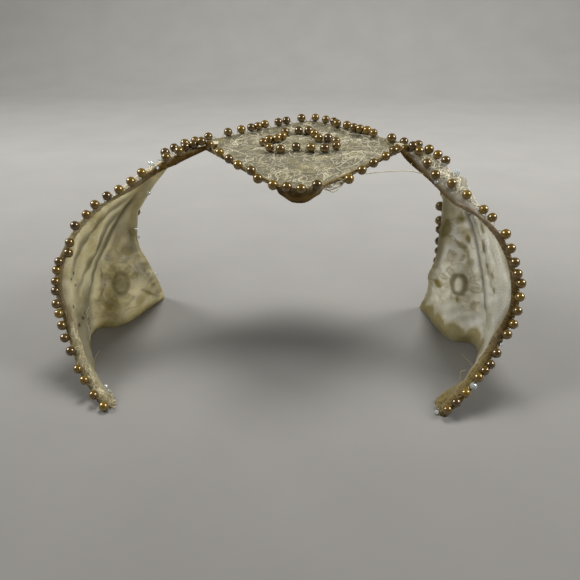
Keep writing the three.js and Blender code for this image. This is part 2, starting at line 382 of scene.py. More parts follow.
class Coat:
    """A new material whose tree a finish fills."""

    def __init__(self, name: str, *marks: str) -> None:
        """Start a material with a bare surface.

        Args:
            name: name of the material.
            marks: names of the values on the piece's vertices that it reads.
        """
        self.material = bpy.data.materials.new(name)
        self.material.use_nodes = True
        self.tree = self.material.node_tree
        self.tree.nodes.clear()
        self.place = add(self.tree, "ShaderNodeTexCoord").outputs["Object"]
        self.marks = {mark: add(self.tree, "ShaderNodeAttribute", attribute_name=mark).outputs["Fac"]
                      for mark in marks}

    def paint(self, colour: Any, *layers: tuple[Any, Any]) -> Any:
        """Lay tones over a colour.

        Args:
            colour: colour underneath.
            layers: share and tone of each layer, in order.

        Returns:
            The colour on top.
        """
        for share, tone in layers:
            mix = add(self.tree, "ShaderNodeMix", {0: share, 6: colour, 7: tone}, data_type="RGBA")
            colour = mix.outputs[2]
        return colour

    def shade(self, share: Any, colour: Any, depth: float) -> Any:
        """A colour, darkened to depth where the share is 0."""
        dark = add(self.tree, "ShaderNodeHueSaturation", {"Color": colour, "Value": depth})
        return self.paint(dark, (share, colour))

    def mesh(self, cell_mm: float, width: float) -> Node:
        """Threads of a net that follows the cloth: 1 on a thread, 0 in a hole.

        Args:
            cell_mm: distance from hole to hole.
            width: share of a cell that a thread takes.

        Returns:
            The threads.
        """
        weave = add(self.tree, "ShaderNodeAttribute", attribute_name="weave").outputs["Vector"]
        cells = add(self.tree, "ShaderNodeTexVoronoi",
                    {"Vector": weave, "Scale": 1 / cell_mm, "Randomness": 0.7},
                    voronoi_dimensions="2D", feature="DISTANCE_TO_EDGE")
        span = {"Value": cells, "From Min": 0.05, "From Max": width, "To Min": 1.0, "To Max": 0.0}
        return add(self.tree, "ShaderNodeMapRange", span)

    def fibres(self, across_mm: float, along_mm: float) -> Node:
        """Streaks of thread down the cloth.

        Args:
            across_mm: usual width of a streak.
            along_mm: usual length of a streak.

        Returns:
            The streaks, from 0 to 1.
        """
        weave = add(self.tree, "ShaderNodeAttribute", attribute_name="weave").outputs["Vector"]
        drawn_out = add(self.tree, "ShaderNodeMapping",
                        {"Vector": weave, "Scale": (1 / across_mm, 1 / along_mm, 1.0)})
        cloud = add(self.tree, "ShaderNodeTexNoise", {"Vector": drawn_out, "Scale": 1.0, "Detail": 2.0})
        span = {"Value": cloud, "From Min": 0.35, "From Max": 0.65}
        return add(self.tree, "ShaderNodeMapRange", span)

    def blotches(self, grain_mm: float, low: float, high: float) -> Node:
        """Soft blotches of a noise.

        Args:
            grain_mm: usual width of a blotch.
            low: noise below which there is none.
            high: noise above which they are full.

        Returns:
            The blotches, from 0 to 1.
        """
        cloud = add(self.tree, "ShaderNodeTexNoise",
                    {"Vector": self.place, "Scale": 1 / (grain_mm * MM), "Detail": 3.0})
        span = {"Value": cloud, "From Min": low, "From Max": high}
        return add(self.tree, "ShaderNodeMapRange", span)

    def close(self, inputs: dict[str, Any], glow: float = 0.0) -> Material:
        """Give the material its surface.

        Args:
            inputs: inputs of the surface.
            glow: share of it that lets light through.

        Returns:
            The finished material.
        """
        surface = add(self.tree, "ShaderNodeBsdfPrincipled", inputs)
        if glow:
            through = add(self.tree, "ShaderNodeBsdfTranslucent", {"Color": inputs["Base Color"]})
            surface = add(self.tree, "ShaderNodeMixShader", {0: glow, 1: surface, 2: through})
        add(self.tree, "ShaderNodeOutputMaterial", {"Surface": surface})
        return self.material


@dataclass(frozen=True)
class PearlFinish:
    """Imitation pearls: glass under bronze-gold nacre lacquer, dark in the middle with sharp highlights."""

    body: str = "#513a00"
    pale: str = "#87690f"
    metallic: float = 0.55
    roughness: float = 0.26
    worn_roughness: float = 0.38
    wear_mm: float = 0.5
    coat_roughness: float = 0.06
    coat_ior: float = 1.8

    def material(self) -> Material:
        """Build the lacquer, a little different from pearl to pearl.

        Returns:
            The material.
        """
        coat = Coat("bronze_pearl_lacquer", "tint")
        rough = add(coat.tree, "ShaderNodeMapRange",
                    {"Value": coat.blotches(self.wear_mm, low=0.35, high=0.7), "To Min": self.roughness,
                     "To Max": self.worn_roughness})
        colour = coat.paint(linear(self.body), (coat.marks["tint"], linear(self.pale)))
        return coat.close({"Base Color": colour, "Metallic": self.metallic, "Roughness": rough,
                           "Coat Weight": 1.0, "Coat Roughness": self.coat_roughness,
                           "Coat IOR": self.coat_ior})


@dataclass(frozen=True)
class NetFinish:
    """Stiffened cotton net under lace, yellowed with age.

    It is matte and half see-through, and olive where it is turned twice; some of its tones are also laid as
    painted shade and painted light.
    """

    LAYERS: ClassVar[tuple[str, ...]] = ("leaf", "petal", "hem", "lip", "ring", "seam", "stain")

    ground: str
    # Yellowed tone laid in soft blotches, more towards the hem and over the front panel: partly the net's
    # ageing, partly painted shade there.
    aged: str
    # Olive of the doubled net at hems and strip, and of the lace blots; also laid as painted shade high on
    # the wing.
    hem: str = "#b0a258"
    # Brown of the rolled lip and the neck: partly the net's own colour, partly painted shade where the lip
    # turns away from the light.
    lip: str = "#6e4a00"
    lip_pale: str = "#8a6a1c"
    leaf: str = "#a59a63"
    seam: str = "#665e42"
    # Grey-olive painted shade: the shaded side of each tuck, the band behind the strip and the front panel;
    # it also greys the strip.
    ring: str = "#857a50"
    # Pale of the petals and curls; the same pale is laid as painted light on bright spots of the net.
    petal: str = "#f1ecdb"
    stain: str = "#3b3324"
    shadow: str = "#55430f"
    fleck: str = "#b59f5c"
    see_through: float = 0.12
    glow: float = 0.45
    mesh_mm: float = 0.65
    thread_share: float = 0.22
    cloud_mm: float = 9.0
    least_age: float = 0.1
    petal_mm: float = 1.6
    lip_mm: float = 1.8
    shadow_mm: float = 0.8
    fleck_mm: float = 0.6
    fibre_mm: float = 0.3
    streak_mm: float = 2.4
    hollow: float = 0.92
    relief_mm: float = 0.2
    roughness: float = 0.85
    sheen: float = 0.03

    def material(self, name: str) -> Material:
        """Build the net with the marks that its wing carries.

        Args:
            name: name of the material.

        Returns:
            The material.
        """
        coat = Coat(name, "age", "mottle", "solid", *self.LAYERS)
        # Blotches of the aged tone, strongest towards the hem and over the front panel: partly ageing, partly
        # painted shade.
        cloudy = add(coat.tree, "ShaderNodeMath",
                     {0: coat.blotches(self.cloud_mm, low=0.35, high=0.65), 1: coat.marks["age"],
                      2: self.least_age}, operation="MULTIPLY_ADD")
        flowers = coat.blotches(self.petal_mm, low=0.45, high=0.75)
        tones = {mark: linear(getattr(self, mark)) for mark in self.LAYERS}
        rubbed = coat.blotches(self.lip_mm, low=0.4, high=0.65)
        tones["lip"] = coat.paint(tones["lip"], (rubbed, linear(self.lip_pale)))
        layers = [(cloudy, linear(self.aged)), (flowers, linear(self.petal)),
                  *((coat.marks[mark], tone) for mark, tone in tones.items())]
        for grain_mm, tone in ((self.shadow_mm, self.shadow), (self.fleck_mm, self.fleck)):
            spots = add(coat.tree, "ShaderNodeMath",
                        {0: coat.blotches(grain_mm, low=0.5, high=0.62), 1: coat.marks["mottle"]},
                        operation="MULTIPLY")
            layers.append((spots, linear(tone)))
        colour = coat.paint(linear(self.ground), *layers)
        thread = coat.mesh(self.mesh_mm, self.thread_share)
        fibres = coat.fibres(self.fibre_mm, self.streak_mm)
        doubled = add(coat.tree, "ShaderNodeMath", {0: thread, 1: coat.marks["solid"]}, operation="MAXIMUM")
        for share in (doubled, fibres):
            colour = coat.shade(share, colour, self.hollow)
        alpha = add(coat.tree, "ShaderNodeMapRange",
                    {"Value": doubled, "To Min": 1 - self.see_through, "To Max": 1.0})
        relief = add(coat.tree, "ShaderNodeMix", {0: coat.marks["solid"], 2: thread, 3: fibres},
                     data_type="FLOAT")
        bump = add(coat.tree, "ShaderNodeBump",
                   {"Strength": 0.5, "Distance": self.relief_mm * MM, "Height": relief})
        return coat.close({"Base Color": colour, "Roughness": self.roughness, "Sheen Weight": self.sheen,
                           "Normal": bump, "Alpha": alpha}, self.glow)


@dataclass(frozen=True)
class LaceFinish:
    """Ivory machine lace: a fine mesh ground that shows greyish where it is open, under white rayon cord."""

    ground: str = "#8c8569"
    open_part: str = "#6c6853"
    aged: str = "#b3a877"
    leaf: str = "#a39b66"
    # Brown of the turned hem: partly its own colour, partly painted shade under the rim.
    hem: str = "#8f7c4c"
    # Painted shade: dark brown on the underside of the front tip, which hangs turned away from the light.
    under: str = "#705318"
    mesh_mm: float = 0.6
    thread_share: float = 0.25
    cloud_mm: float = 5.0
    relief_mm: float = 0.25
    under_relief: float = 0.15
    roughness: float = 0.8
    sheen: float = 0.15
    glow: float = 0.3

    def material(self) -> Material:
        """Build the lace ground, with its leaves, its hem and the underside that its front tip shows,
        darkened with painted shade.

        Returns:
            The material.
        """
        coat = Coat("ivory_lace", "leaf", "hem", "under")
        thread = coat.mesh(self.mesh_mm, self.thread_share)
        cloudy = coat.blotches(self.cloud_mm, low=0.5, high=0.75)
        marked = ((share, linear(getattr(self, mark))) for mark, share in coat.marks.items())
        colour = coat.paint(linear(self.open_part), (thread, linear(self.ground)),
                            (cloudy, linear(self.aged)), *marked)
        single = add(coat.tree, "ShaderNodeMapRange",
                     {"Value": coat.marks["under"], "To Min": 1.0, "To Max": self.under_relief})
        relief = add(coat.tree, "ShaderNodeMath", {0: thread, 1: single}, operation="MULTIPLY")
        bump = add(coat.tree, "ShaderNodeBump",
                   {"Strength": 0.8, "Distance": self.relief_mm * MM, "Height": relief})
        return coat.close({"Base Color": colour, "Roughness": self.roughness, "Sheen Weight": self.sheen,
                           "Normal": bump}, self.glow)


@dataclass(frozen=True)
class CordFinish:
    """Twisted thread or cord: soft gloss across its twist, from one colour to another by strand.

    WAVE_LENGTH is the distance, in metres, at which a wave texture of scale 1 repeats.
    """

    WAVE_LENGTH: ClassVar[float] = 0.314

    name: str
    dark: str
    pale: str
    roughness: float = 0.55
    sheen: float = 0.3
    twist_mm: float = 0.35
    relief_mm: float = 0.1

    def material(self) -> Material:
        """Build the thread.

        Returns:
            The material.
        """
        coat = Coat(self.name, "tint")
        colour = coat.paint(linear(self.dark), (coat.marks["tint"], linear(self.pale)))
        scale = self.WAVE_LENGTH / (self.twist_mm * MM)
        wave = add(coat.tree, "ShaderNodeTexWave", {"Vector": coat.place, "Scale": scale, "Distortion": 2.0},
                   bands_direction="DIAGONAL")
        bump = add(coat.tree, "ShaderNodeBump",
                   {"Strength": 0.5, "Distance": self.relief_mm * MM, "Height": wave.outputs["Fac"]})
        return coat.close({"Base Color": colour, "Roughness": self.roughness, "Sheen Weight": self.sheen,
                           "Normal": bump})


@dataclass(frozen=True)
class CrystalFinish:
    """Clear cut glass with a foil back, which glitters sharply and is faintly cool; a faint glow is painted
    in for the light that the foil throws back.
    """

    tint: str = "#eef4f6"
    thick: str = "#d9e6ea"
    cloud_mm: float = 1.0
    roughness: float = 0.03
    ior: float = 1.7
    clear: float = 0.7
    # Emission strength: a painted glow, not a lamp.
    painted_glow: float = 0.06

    def material(self) -> Material:
        """Build the glass, a little smoky where it is thick.

        Returns:
            The material.
        """
        coat = Coat("clear_cut_glass")
        smoky = coat.blotches(self.cloud_mm, low=0.4, high=0.6)
        return coat.close({"Base Color": coat.paint(linear(self.tint), (smoky, linear(self.thick))),
                           "Roughness": self.roughness, "IOR": self.ior, "Coat Weight": 1.0,
                           "Transmission Weight": self.clear, "Emission Color": linear(self.tint),
                           "Emission Strength": self.painted_glow})


# Geometry node trees

class NodeRig:
    """A Geometry Nodes tree with named inputs, run on an object and kept as a plain mesh."""

    def __init__(self, name: str, floats: Sequence[str] = (), integers: Sequence[str] = ()) -> None:
        """Start a tree with its inputs.

        Args:
            name: name of the tree.
            floats: names of inputs that are lengths or shares.
            integers: names of inputs that are counts or seeds.
        """
        self.tree = bpy.data.node_groups.new(name, "GeometryNodeTree")
        faces = self.tree.interface
        faces.new_socket("Geometry", in_out="OUTPUT", socket_type="NodeSocketGeometry")
        kinds = {"Geometry": "Geometry", **dict.fromkeys(floats, "Float"), **dict.fromkeys(integers, "Int"),
                 "Material": "Material"}
        for label, kind in kinds.items():
            faces.new_socket(label, in_out="INPUT", socket_type=f"NodeSocket{kind}")
        self.given = add(self.tree, "NodeGroupInput").outputs

    def close(self, geometry: Node, smooth: bool = True) -> None:
        """Realize and dress the geometry, and send it out.

        Args:
            geometry: what the tree has made.
            smooth: whether its faces are shaded as one smooth surface.
        """
        plain = add(self.tree, "GeometryNodeRealizeInstances", {"Geometry": geometry})
        if smooth:
            plain = add(self.tree, "GeometryNodeSetShadeSmooth", {"Geometry": plain})
        dressed = add(self.tree, "GeometryNodeSetMaterial",
                      {"Geometry": plain, "Material": self.given["Material"]})
        add(self.tree, "NodeGroupOutput", {"Geometry": dressed})

    def run(self, obj: Object, **values: Any) -> Object:
        """Run the tree on an object and keep the result as its mesh.

        Args:
            obj: object that carries the points or edges.
            values: the tree's inputs by name.

        Returns:
            The same object.
        """
        modifier = obj.modifiers.new(self.tree.name, "NODES")
        modifier.node_group = self.tree
        for item in self.tree.interface.items_tree:
            if item.in_out == "INPUT" and item.name in values:
                modifier[item.identifier] = values[item.name]
        seed_mesh = obj.data
        result = bpy.data.meshes.new_from_object(obj.evaluated_get(bpy.context.evaluated_depsgraph_get()))
        obj.modifiers.clear()
        obj.data = result
        bpy.data.meshes.remove(seed_mesh)
        return obj


class PearlRig(NodeRig):
    """Drilled round beads on points, each turned along its thread."""

    POLE_HEIGHT = 0.99

    def __init__(self) -> None:
        """Build the tree."""
        super().__init__("pearls_on_points", ("Diameter", "Spread", "Hole"), ("Segments", "Rings", "Seed"))
        radius = add(self.tree, "ShaderNodeMath", {0: self.given["Diameter"], 1: 0.5}, operation="MULTIPLY")
        ball = add(self.tree, "GeometryNodeMeshUVSphere",
                   {"Segments": self.given["Segments"], "Rings": self.given["Rings"], "Radius": radius})
        place = add(self.tree, "GeometryNodeInputPosition")
        apart = add(self.tree, "ShaderNodeSeparateXYZ", {0: place})
        height = add(self.tree, "ShaderNodeMath", {0: apart.outputs["Z"]}, operation="ABSOLUTE")
        share = add(self.tree, "ShaderNodeMath", {0: height, 1: radius}, operation="DIVIDE")
        pole = add(self.tree, "FunctionNodeCompare", {0: share, 1: self.POLE_HEIGHT},
                   operation="GREATER_THAN")
        sunk = add(self.tree, "ShaderNodeVectorMath",
                   {0: place, "Scale": self.given["Hole"]}, operation="SCALE")
        drilled = add(self.tree, "GeometryNodeSetPosition",
                      {"Geometry": ball, "Selection": pole, "Position": sunk})
        axis = add(self.tree, "GeometryNodeInputNamedAttribute", {"Name": "axis"}, data_type="FLOAT_VECTOR")
        turn = add(self.tree, "FunctionNodeAlignRotationToVector", {"Vector": axis}, axis="Z")
        low, high = (add(self.tree, "ShaderNodeMath", {0: 1.0, 1: self.given["Spread"]}, operation=change)
                     for change in ("SUBTRACT", "ADD"))
        size = add(self.tree, "FunctionNodeRandomValue", {2: low, 3: high, "Seed": self.given["Seed"]})
        beads = add(self.tree, "GeometryNodeInstanceOnPoints",
                    {"Points": self.given["Geometry"], "Instance": drilled,
                     "Rotation": turn, "Scale": size.outputs[1]})
        self.close(beads)


class CordRig(NodeRig):
    """Round cord along broken lines, as thick as its points say."""

    def __init__(self) -> None:
        """Build the tree."""
        super().__init__("cord_along_lines", (), ("Sides",))
        curve = add(self.tree, "GeometryNodeMeshToCurve", {"Mesh": self.given["Geometry"]})
        ring = add(self.tree, "GeometryNodeCurvePrimitiveCircle",
                   {"Resolution": self.given["Sides"], "Radius": MM})
        thickness = add(self.tree, "GeometryNodeInputNamedAttribute", {"Name": "thickness"},
                        data_type="FLOAT")
        cord = add(self.tree, "GeometryNodeCurveToMesh",
                   {"Curve": curve, "Profile Curve": ring, "Scale": thickness, "Fill Caps": True})
        self.close(cord)


class CrystalRig(NodeRig):
    """Faceted clear beads on points."""

    def __init__(self) -> None:
        """Build the tree."""
        super().__init__("crystals_on_points", ("Diameter",), ("Facets", "Seed"))
        radius = add(self.tree, "ShaderNodeMath", {0: self.given["Diameter"], 1: 0.5}, operation="MULTIPLY")
        stone = add(self.tree, "GeometryNodeMeshIcoSphere",
                    {"Radius": radius, "Subdivisions": self.given["Facets"]})
        turn = add(self.tree, "FunctionNodeRandomValue",
                   {0: (0.0, 0.0, 0.0), 1: (math.tau, math.tau, math.tau), "Seed": self.given["Seed"]},
                   data_type="FLOAT_VECTOR")
        spin = add(self.tree, "FunctionNodeEulerToRotation", {0: turn})
        size = add(self.tree, "GeometryNodeInputNamedAttribute", {"Name": "size"}, data_type="FLOAT")
        stones = add(self.tree, "GeometryNodeInstanceOnPoints",
                     {"Points": self.given["Geometry"], "Instance": stone, "Rotation": spin, "Scale": size})
        self.close(stones, smooth=False)


class Cords:
    """Lines of thread or cord that become one piece."""

    SIDES = 5

    def __init__(self, name: str, seed: int) -> None:
        """Start with no lines.

        Args:
            name: name of the piece.
            seed: seed for the strands' tints.
        """
        self.name = name
        self.lines: list[Array] = []
        self.radii: list[float] = []
        self.tints: list[float] = []
        self.draw = np.random.default_rng(seed)

    def lay(self, line: Array, radius: float, pale: Pair = (0.0, 1.0)) -> None:
        """Add a line of at least two places.

        Args:
            line: the places.
            radius: its radius in millimetres.
            pale: least and greatest share of the finish's pale colour.
        """
        if len(line) > 1:
            self.lines.append(np.asarray(line, float))
            self.radii.append(radius)
            self.tints.append(self.draw.uniform(*pale))

    def build(self, rig: CordRig, material: Material) -> Object:
        """Make the piece.

        Args:
            rig: tree that gives the lines their thickness.
            material: finish of the piece.

        Returns:
            The object.
        """
        counts = [len(line) for line in self.lines]
        starts = np.cumsum([0, *counts[:-1]])
        edges = [(s + i, s + i + 1) for s, n in zip(starts, counts) for i in range(n - 1)]
        marks = {"thickness": np.repeat(self.radii, counts), "tint": np.repeat(self.tints, counts)}
        points = np.vstack(self.lines)
        points[:, 2] = np.maximum(points[:, 2], marks["thickness"])
        obj = new_object(self.name, points, edges, marks=marks)
        return rig.run(obj, Sides=self.SIDES, Material=material)


# Cloth

@dataclass
class Cloth:
    """A cloth wall about a grid of middle places.

    turn is 1 or -1, whichever makes the grid's normals point at the wearer.
    """

    SEARCH: ClassVar[float] = 6.0
    SEARCH_PLACES: ClassVar[int] = 121

    name: str
    middle: Array
    turn: float
    marks: dict[str, Array] = field(default_factory=dict)
    first_column: int = 0
    outer_marks: dict[str, Array] = field(default_factory=dict)

    def __post_init__(self) -> None:
        """Survey the grid."""
        self.survey()

    def survey(self) -> None:
        """Work out normals, runs and the search tree again after the grid has moved."""
        along, across = np.gradient(self.middle, axis=0), np.gradient(self.middle, axis=1)
        self.normals = unit(np.cross(across, along)) * self.turn
        rows, columns = self.middle.shape[:2]
        number = np.arange(rows * columns).reshape(rows, columns)
        corners = (number[:-1, :-1], number[:-1, 1:], number[1:, 1:], number[1:, :-1])
        self.quads = np.stack(corners, -1).reshape(-1, 4)
        a, b, c, d = (self.middle.reshape(-1, 3)[self.quads[:, i]] for i in range(4))
        self.areas = np.linalg.norm(np.cross(c - a, d - b), axis=1) / 2
        self.bvh = BVHTree.FromPolygons(self.middle.reshape(-1, 3).tolist(), self.quads.tolist())

    def normal_of(self, face: int) -> Array:
        """Normal of a grid face, towards the wearer."""
        row, column = divmod(face, self.middle.shape[1] - 1)
        return self.normals[row, column]

    def area(self) -> float:
        """Area of the middle of the cloth, in square metres."""
        return float(self.areas.sum()) * MM ** 2

    def seen(self, pixel: Sequence[float]) -> tuple[Array, Array] | None:
        """The first place on the cloth that shows at a pixel.

        Args:
            pixel: where it shows.

        Returns:
            The place and its normal, or None where the cloth isn't there.
        """
        eye = Vector(VIEW.place)
        aim = Vector(VIEW.at_depth(pixel, self.middle[0, 0])) - eye
        place, _, face, _ = self.bvh.ray_cast(eye, aim.normalized())
        return None if place is None else (np.array(place), self.normal_of(face))

    def nearest(self, place: Array) -> tuple[Array, Array]:
        """The nearest place on the cloth and its normal."""
        found, _, face, _ = self.bvh.find_nearest(Vector(place))
        return np.array(found), self.normal_of(face)

    def between(self, rows: Array, columns: Array, lift: float) -> Array:
        """Places between the grid's rows and columns.

        Args:
            rows: rows of the places, with fractions.
            columns: their columns, with fractions.
            lift: height above the middle, towards the wearer.

        Returns:
            The places.
        """
        raised = self.middle + lift * self.normals
        r, c = (np.clip(v, 0, n - 1.001) for v, n in zip((rows, columns), raised.shape))
        low, left = r.astype(int), c.astype(int)
        down, across = (r - low)[:, None], (c - left)[:, None]
        upper = (1 - across) * raised[low, left] + across * raised[low, left + 1]
        lower = (1 - across) * raised[low + 1, left] + across * raised[low + 1, left + 1]
        return (1 - down) * upper + down * lower

    def column_at(self, place: Array) -> int:
        """Column of the grid at a place on the cloth."""
        return self.bvh.find_nearest(Vector(place))[2] % (self.middle.shape[1] - 1)

    def touching(self, pixel: Sequence[float], near: Array, lift: float, pull: float = 1.2) -> Array:
        """A place seen at a pixel that rests on the cloth, on the eye's side of it.

        Args:
            pixel: where it shows.
            near: a place of about the same depth.
            lift: distance from the middle of the cloth at which it rests.
            pull: furthest that it is pulled to a cloth that doesn't show at the pixel.

        Returns:
            The place, or the nearest to the cloth that the pixel allows.
        """
        start = VIEW.at_depth(pixel, near)
        ahead = unit(start - np.array(VIEW.place))
        places = start + np.linspace(-self.SEARCH, self.SEARCH, self.SEARCH_PLACES)[:, None] * ahead
        found = [self.bvh.find_nearest(Vector(place)) for place in places]
        gaps = np.array([gap for _, _, _, gap in found])
        resting = np.nonzero(gaps <= lift)[0]
        if len(resting):
            return places[resting[0]]
        closest = int(np.argmin(gaps))
        drop = min(gaps[closest] - lift, pull)
        return places[closest] + drop * unit(np.array(found[closest][0]) - places[closest])

    def stroke(self, middle: Array, half_width: float) -> Array:
        """Mark a leaf-shaped stroke.

        Args:
            middle: places along its middle line.
            half_width: half its width at the middle.

        Returns:
            How near each place of the grid is to it, from 0 to 1.
        """
        nearness = np.zeros(self.middle.shape[:2])
        swell = half_width * np.sin(np.linspace(0.1, math.pi - 0.1, len(middle))) ** 0.8
        for place, radius in zip(middle, swell):
            gap = np.linalg.norm(self.middle - place, axis=-1)
            nearness = np.maximum(nearness, fall(gap / radius, 0.6, 1.5))
        return nearness

    def leaf(self, middle: Array, half_width: float, lift: float) -> Array:
        """Outline of a leaf on the cloth.

        Args:
            middle: places along its middle line.
            half_width: half its width at the middle.
            lift: height above the middle, towards the wearer.

        Returns:
            A closed line on the cloth.
        """
        if len(middle) < 4:
            return middle[:0]
        along = unit(np.gradient(middle, axis=0))
        normals = np.array([self.nearest(place)[1] for place in middle])
        swell = half_width * np.sin(np.linspace(0, math.pi, len(middle))) ** 0.8
        beside = np.cross(normals, along) * swell[:, None]
        outline = np.vstack([middle + beside, (middle - beside)[::-1]])
        found = [self.nearest(place) for place in outline]
        return np.array([place + lift * normal for place, normal in found])

    def beside(self, pixel: Sequence[float], stray: float = 2.0) -> Array:
        """A place seen at a pixel, as deep as the nearest part of the cloth in the picture.

        Args:
            pixel: where it shows.
            stray: furthest that it may lie from the cloth.

        Returns:
            The place.
        """
        grid = self.middle.reshape(-1, 3)
        anchor = grid[np.argmin(np.linalg.norm(VIEW.pixels(grid) - np.array(pixel[:2]), axis=1))]
        step = VIEW.at_depth(pixel, anchor) - anchor
        return anchor + step * min(1, stray / max(np.linalg.norm(step), 1e-6))

    def near(self, spots: Spots) -> Array:
        """Mark round spots.

        Args:
            spots: pixel and radius of each.

        Returns:
            How near each place of the grid is to a spot, from 0 to 1.
        """
        nearness = np.zeros(self.middle.shape[:2])
        for u, v, radius in spots:
            found = self.seen((u, v))
            if found:
                gap = np.linalg.norm(self.middle - found[0], axis=-1)
                nearness = np.maximum(nearness, fall(gap, 0.55 * radius, 1.25 * radius))
        return nearness

    def drawn(self, pixels: Pixels, steps: int = 24, lift: float = 0.0) -> Array:
        """A line drawn over the photograph, laid on the cloth.

        Args:
            pixels: places that the line passes through.
            steps: number of places to lay.
            lift: height above the middle, towards the wearer.

        Returns:
            Places on the cloth.
        """
        line = SmoothCurve(pixels).by_length(np.linspace(0, 1, steps))
        found = [self.seen(pixel) for pixel in line]
        return np.array([place + lift * normal for place, normal in filter(None, found)])

    def wander(self, draw: Generator, steps: int, stride: float, turn: float, lift: float,
               patch: Array | None = None) -> Array:
        """A cord that wanders over the cloth.

        Args:
            draw: random draws.
            steps: number of strides.
            stride: length of a stride.
            turn: spread of the change of turning at each stride, in radians.
            lift: height above the middle, towards the wearer.
            patch: where on the grid it may start, if not everywhere.

        Returns:
            Places of the cord.
        """
        weights = self.areas.reshape(-1, self.middle.shape[1] - 1).copy()
        weights[:, :self.first_column] = 0
        if patch is not None:
            weights *= np.broadcast_to(patch, self.middle.shape[:2])[:-1, :-1]
        face = draw.choice(len(self.areas), p=weights.ravel() / weights.sum())
        place, normal = self.nearest(self.middle.reshape(-1, 3)[self.quads[face]].mean(axis=0))
        heading = unit(np.cross(normal, draw.normal(size=3)))
        bend = draw.normal(0, 2 * turn)
        line = [place + lift * normal]
        for _ in range(steps):
            bend = 0.85 * bend + draw.normal(0, turn)
            heading = unit(heading * math.cos(bend) + np.cross(normal, heading) * math.sin(bend))
            goal = place + stride * heading
            place, normal = self.nearest(goal)
            if np.linalg.norm(goal - place) > 0.5 * stride or self.column_at(place) < self.first_column:
                break
            heading = unit(heading - (heading @ normal) * normal)
            line.append(place + lift * normal)
        return np.array(line)

    def build(self, inner: Array, outer: Array) -> Object:
        """Make the wall with its marks.

        Args:
            inner: thickness on the wearer's side of the middle, over the grid.
            outer: thickness on the far side.

        Returns:
            The object.
        """
        rows, columns = self.middle.shape[:2]
        faces = [self.middle + self.normals * inner[..., None], self.middle - self.normals * outer[..., None]]
        points = np.concatenate([face.reshape(-1, 3) for face in faces])
        points[:, 2] = np.maximum(points[:, 2], 0)
        number = np.arange(rows * columns).reshape(rows, columns)
        rim = np.concatenate([number[0, :-1], number[:-1, -1], number[-1, :0:-1], number[:0:-1, 0]])
        after = np.roll(rim, -1)
        under = rows * columns
        walls = np.stack([rim, after, after + under, rim + under], -1)
        quads = np.concatenate([self.quads, self.quads[:, ::-1] + under, walls])
        marks = {name: np.concatenate([sheet.reshape(rows * columns, *sheet.shape[2:])
                                       for sheet in (values, self.outer_marks.get(name, values))])
                 for name, values in self.marks.items()}
        obj = new_object(self.name, points, faces=quads.tolist(), marks=marks)
        shell = bmesh.new()
        shell.from_mesh(obj.data)
        bmesh.ops.recalc_face_normals(shell, faces=shell.faces)
        shell.to_mesh(obj.data)
        shell.free()
        obj.data.shade_smooth()
        return obj


def ripples(points: Array, height: float, length: float, seed: int) -> Array:
    """Soft random swell over places, as of handled cloth.

    Args:
        points: places, last axis 3.
        height: usual height of the swell.
        length: usual distance from crest to crest.
        seed: seed of the draws.

    Returns:
        Heights, with the grid's shape.
    """
    draw = np.random.default_rng(seed)
    waves = 9
    swell = np.zeros(points.shape[:-1])
    for _ in range(waves):
        heading = unit(draw.normal(size=3)) * math.tau / (length * draw.uniform(0.7, 1.6))
        swell += np.sin(points @ heading + draw.uniform(0, math.tau))
    return swell * height / math.sqrt(waves / 2)


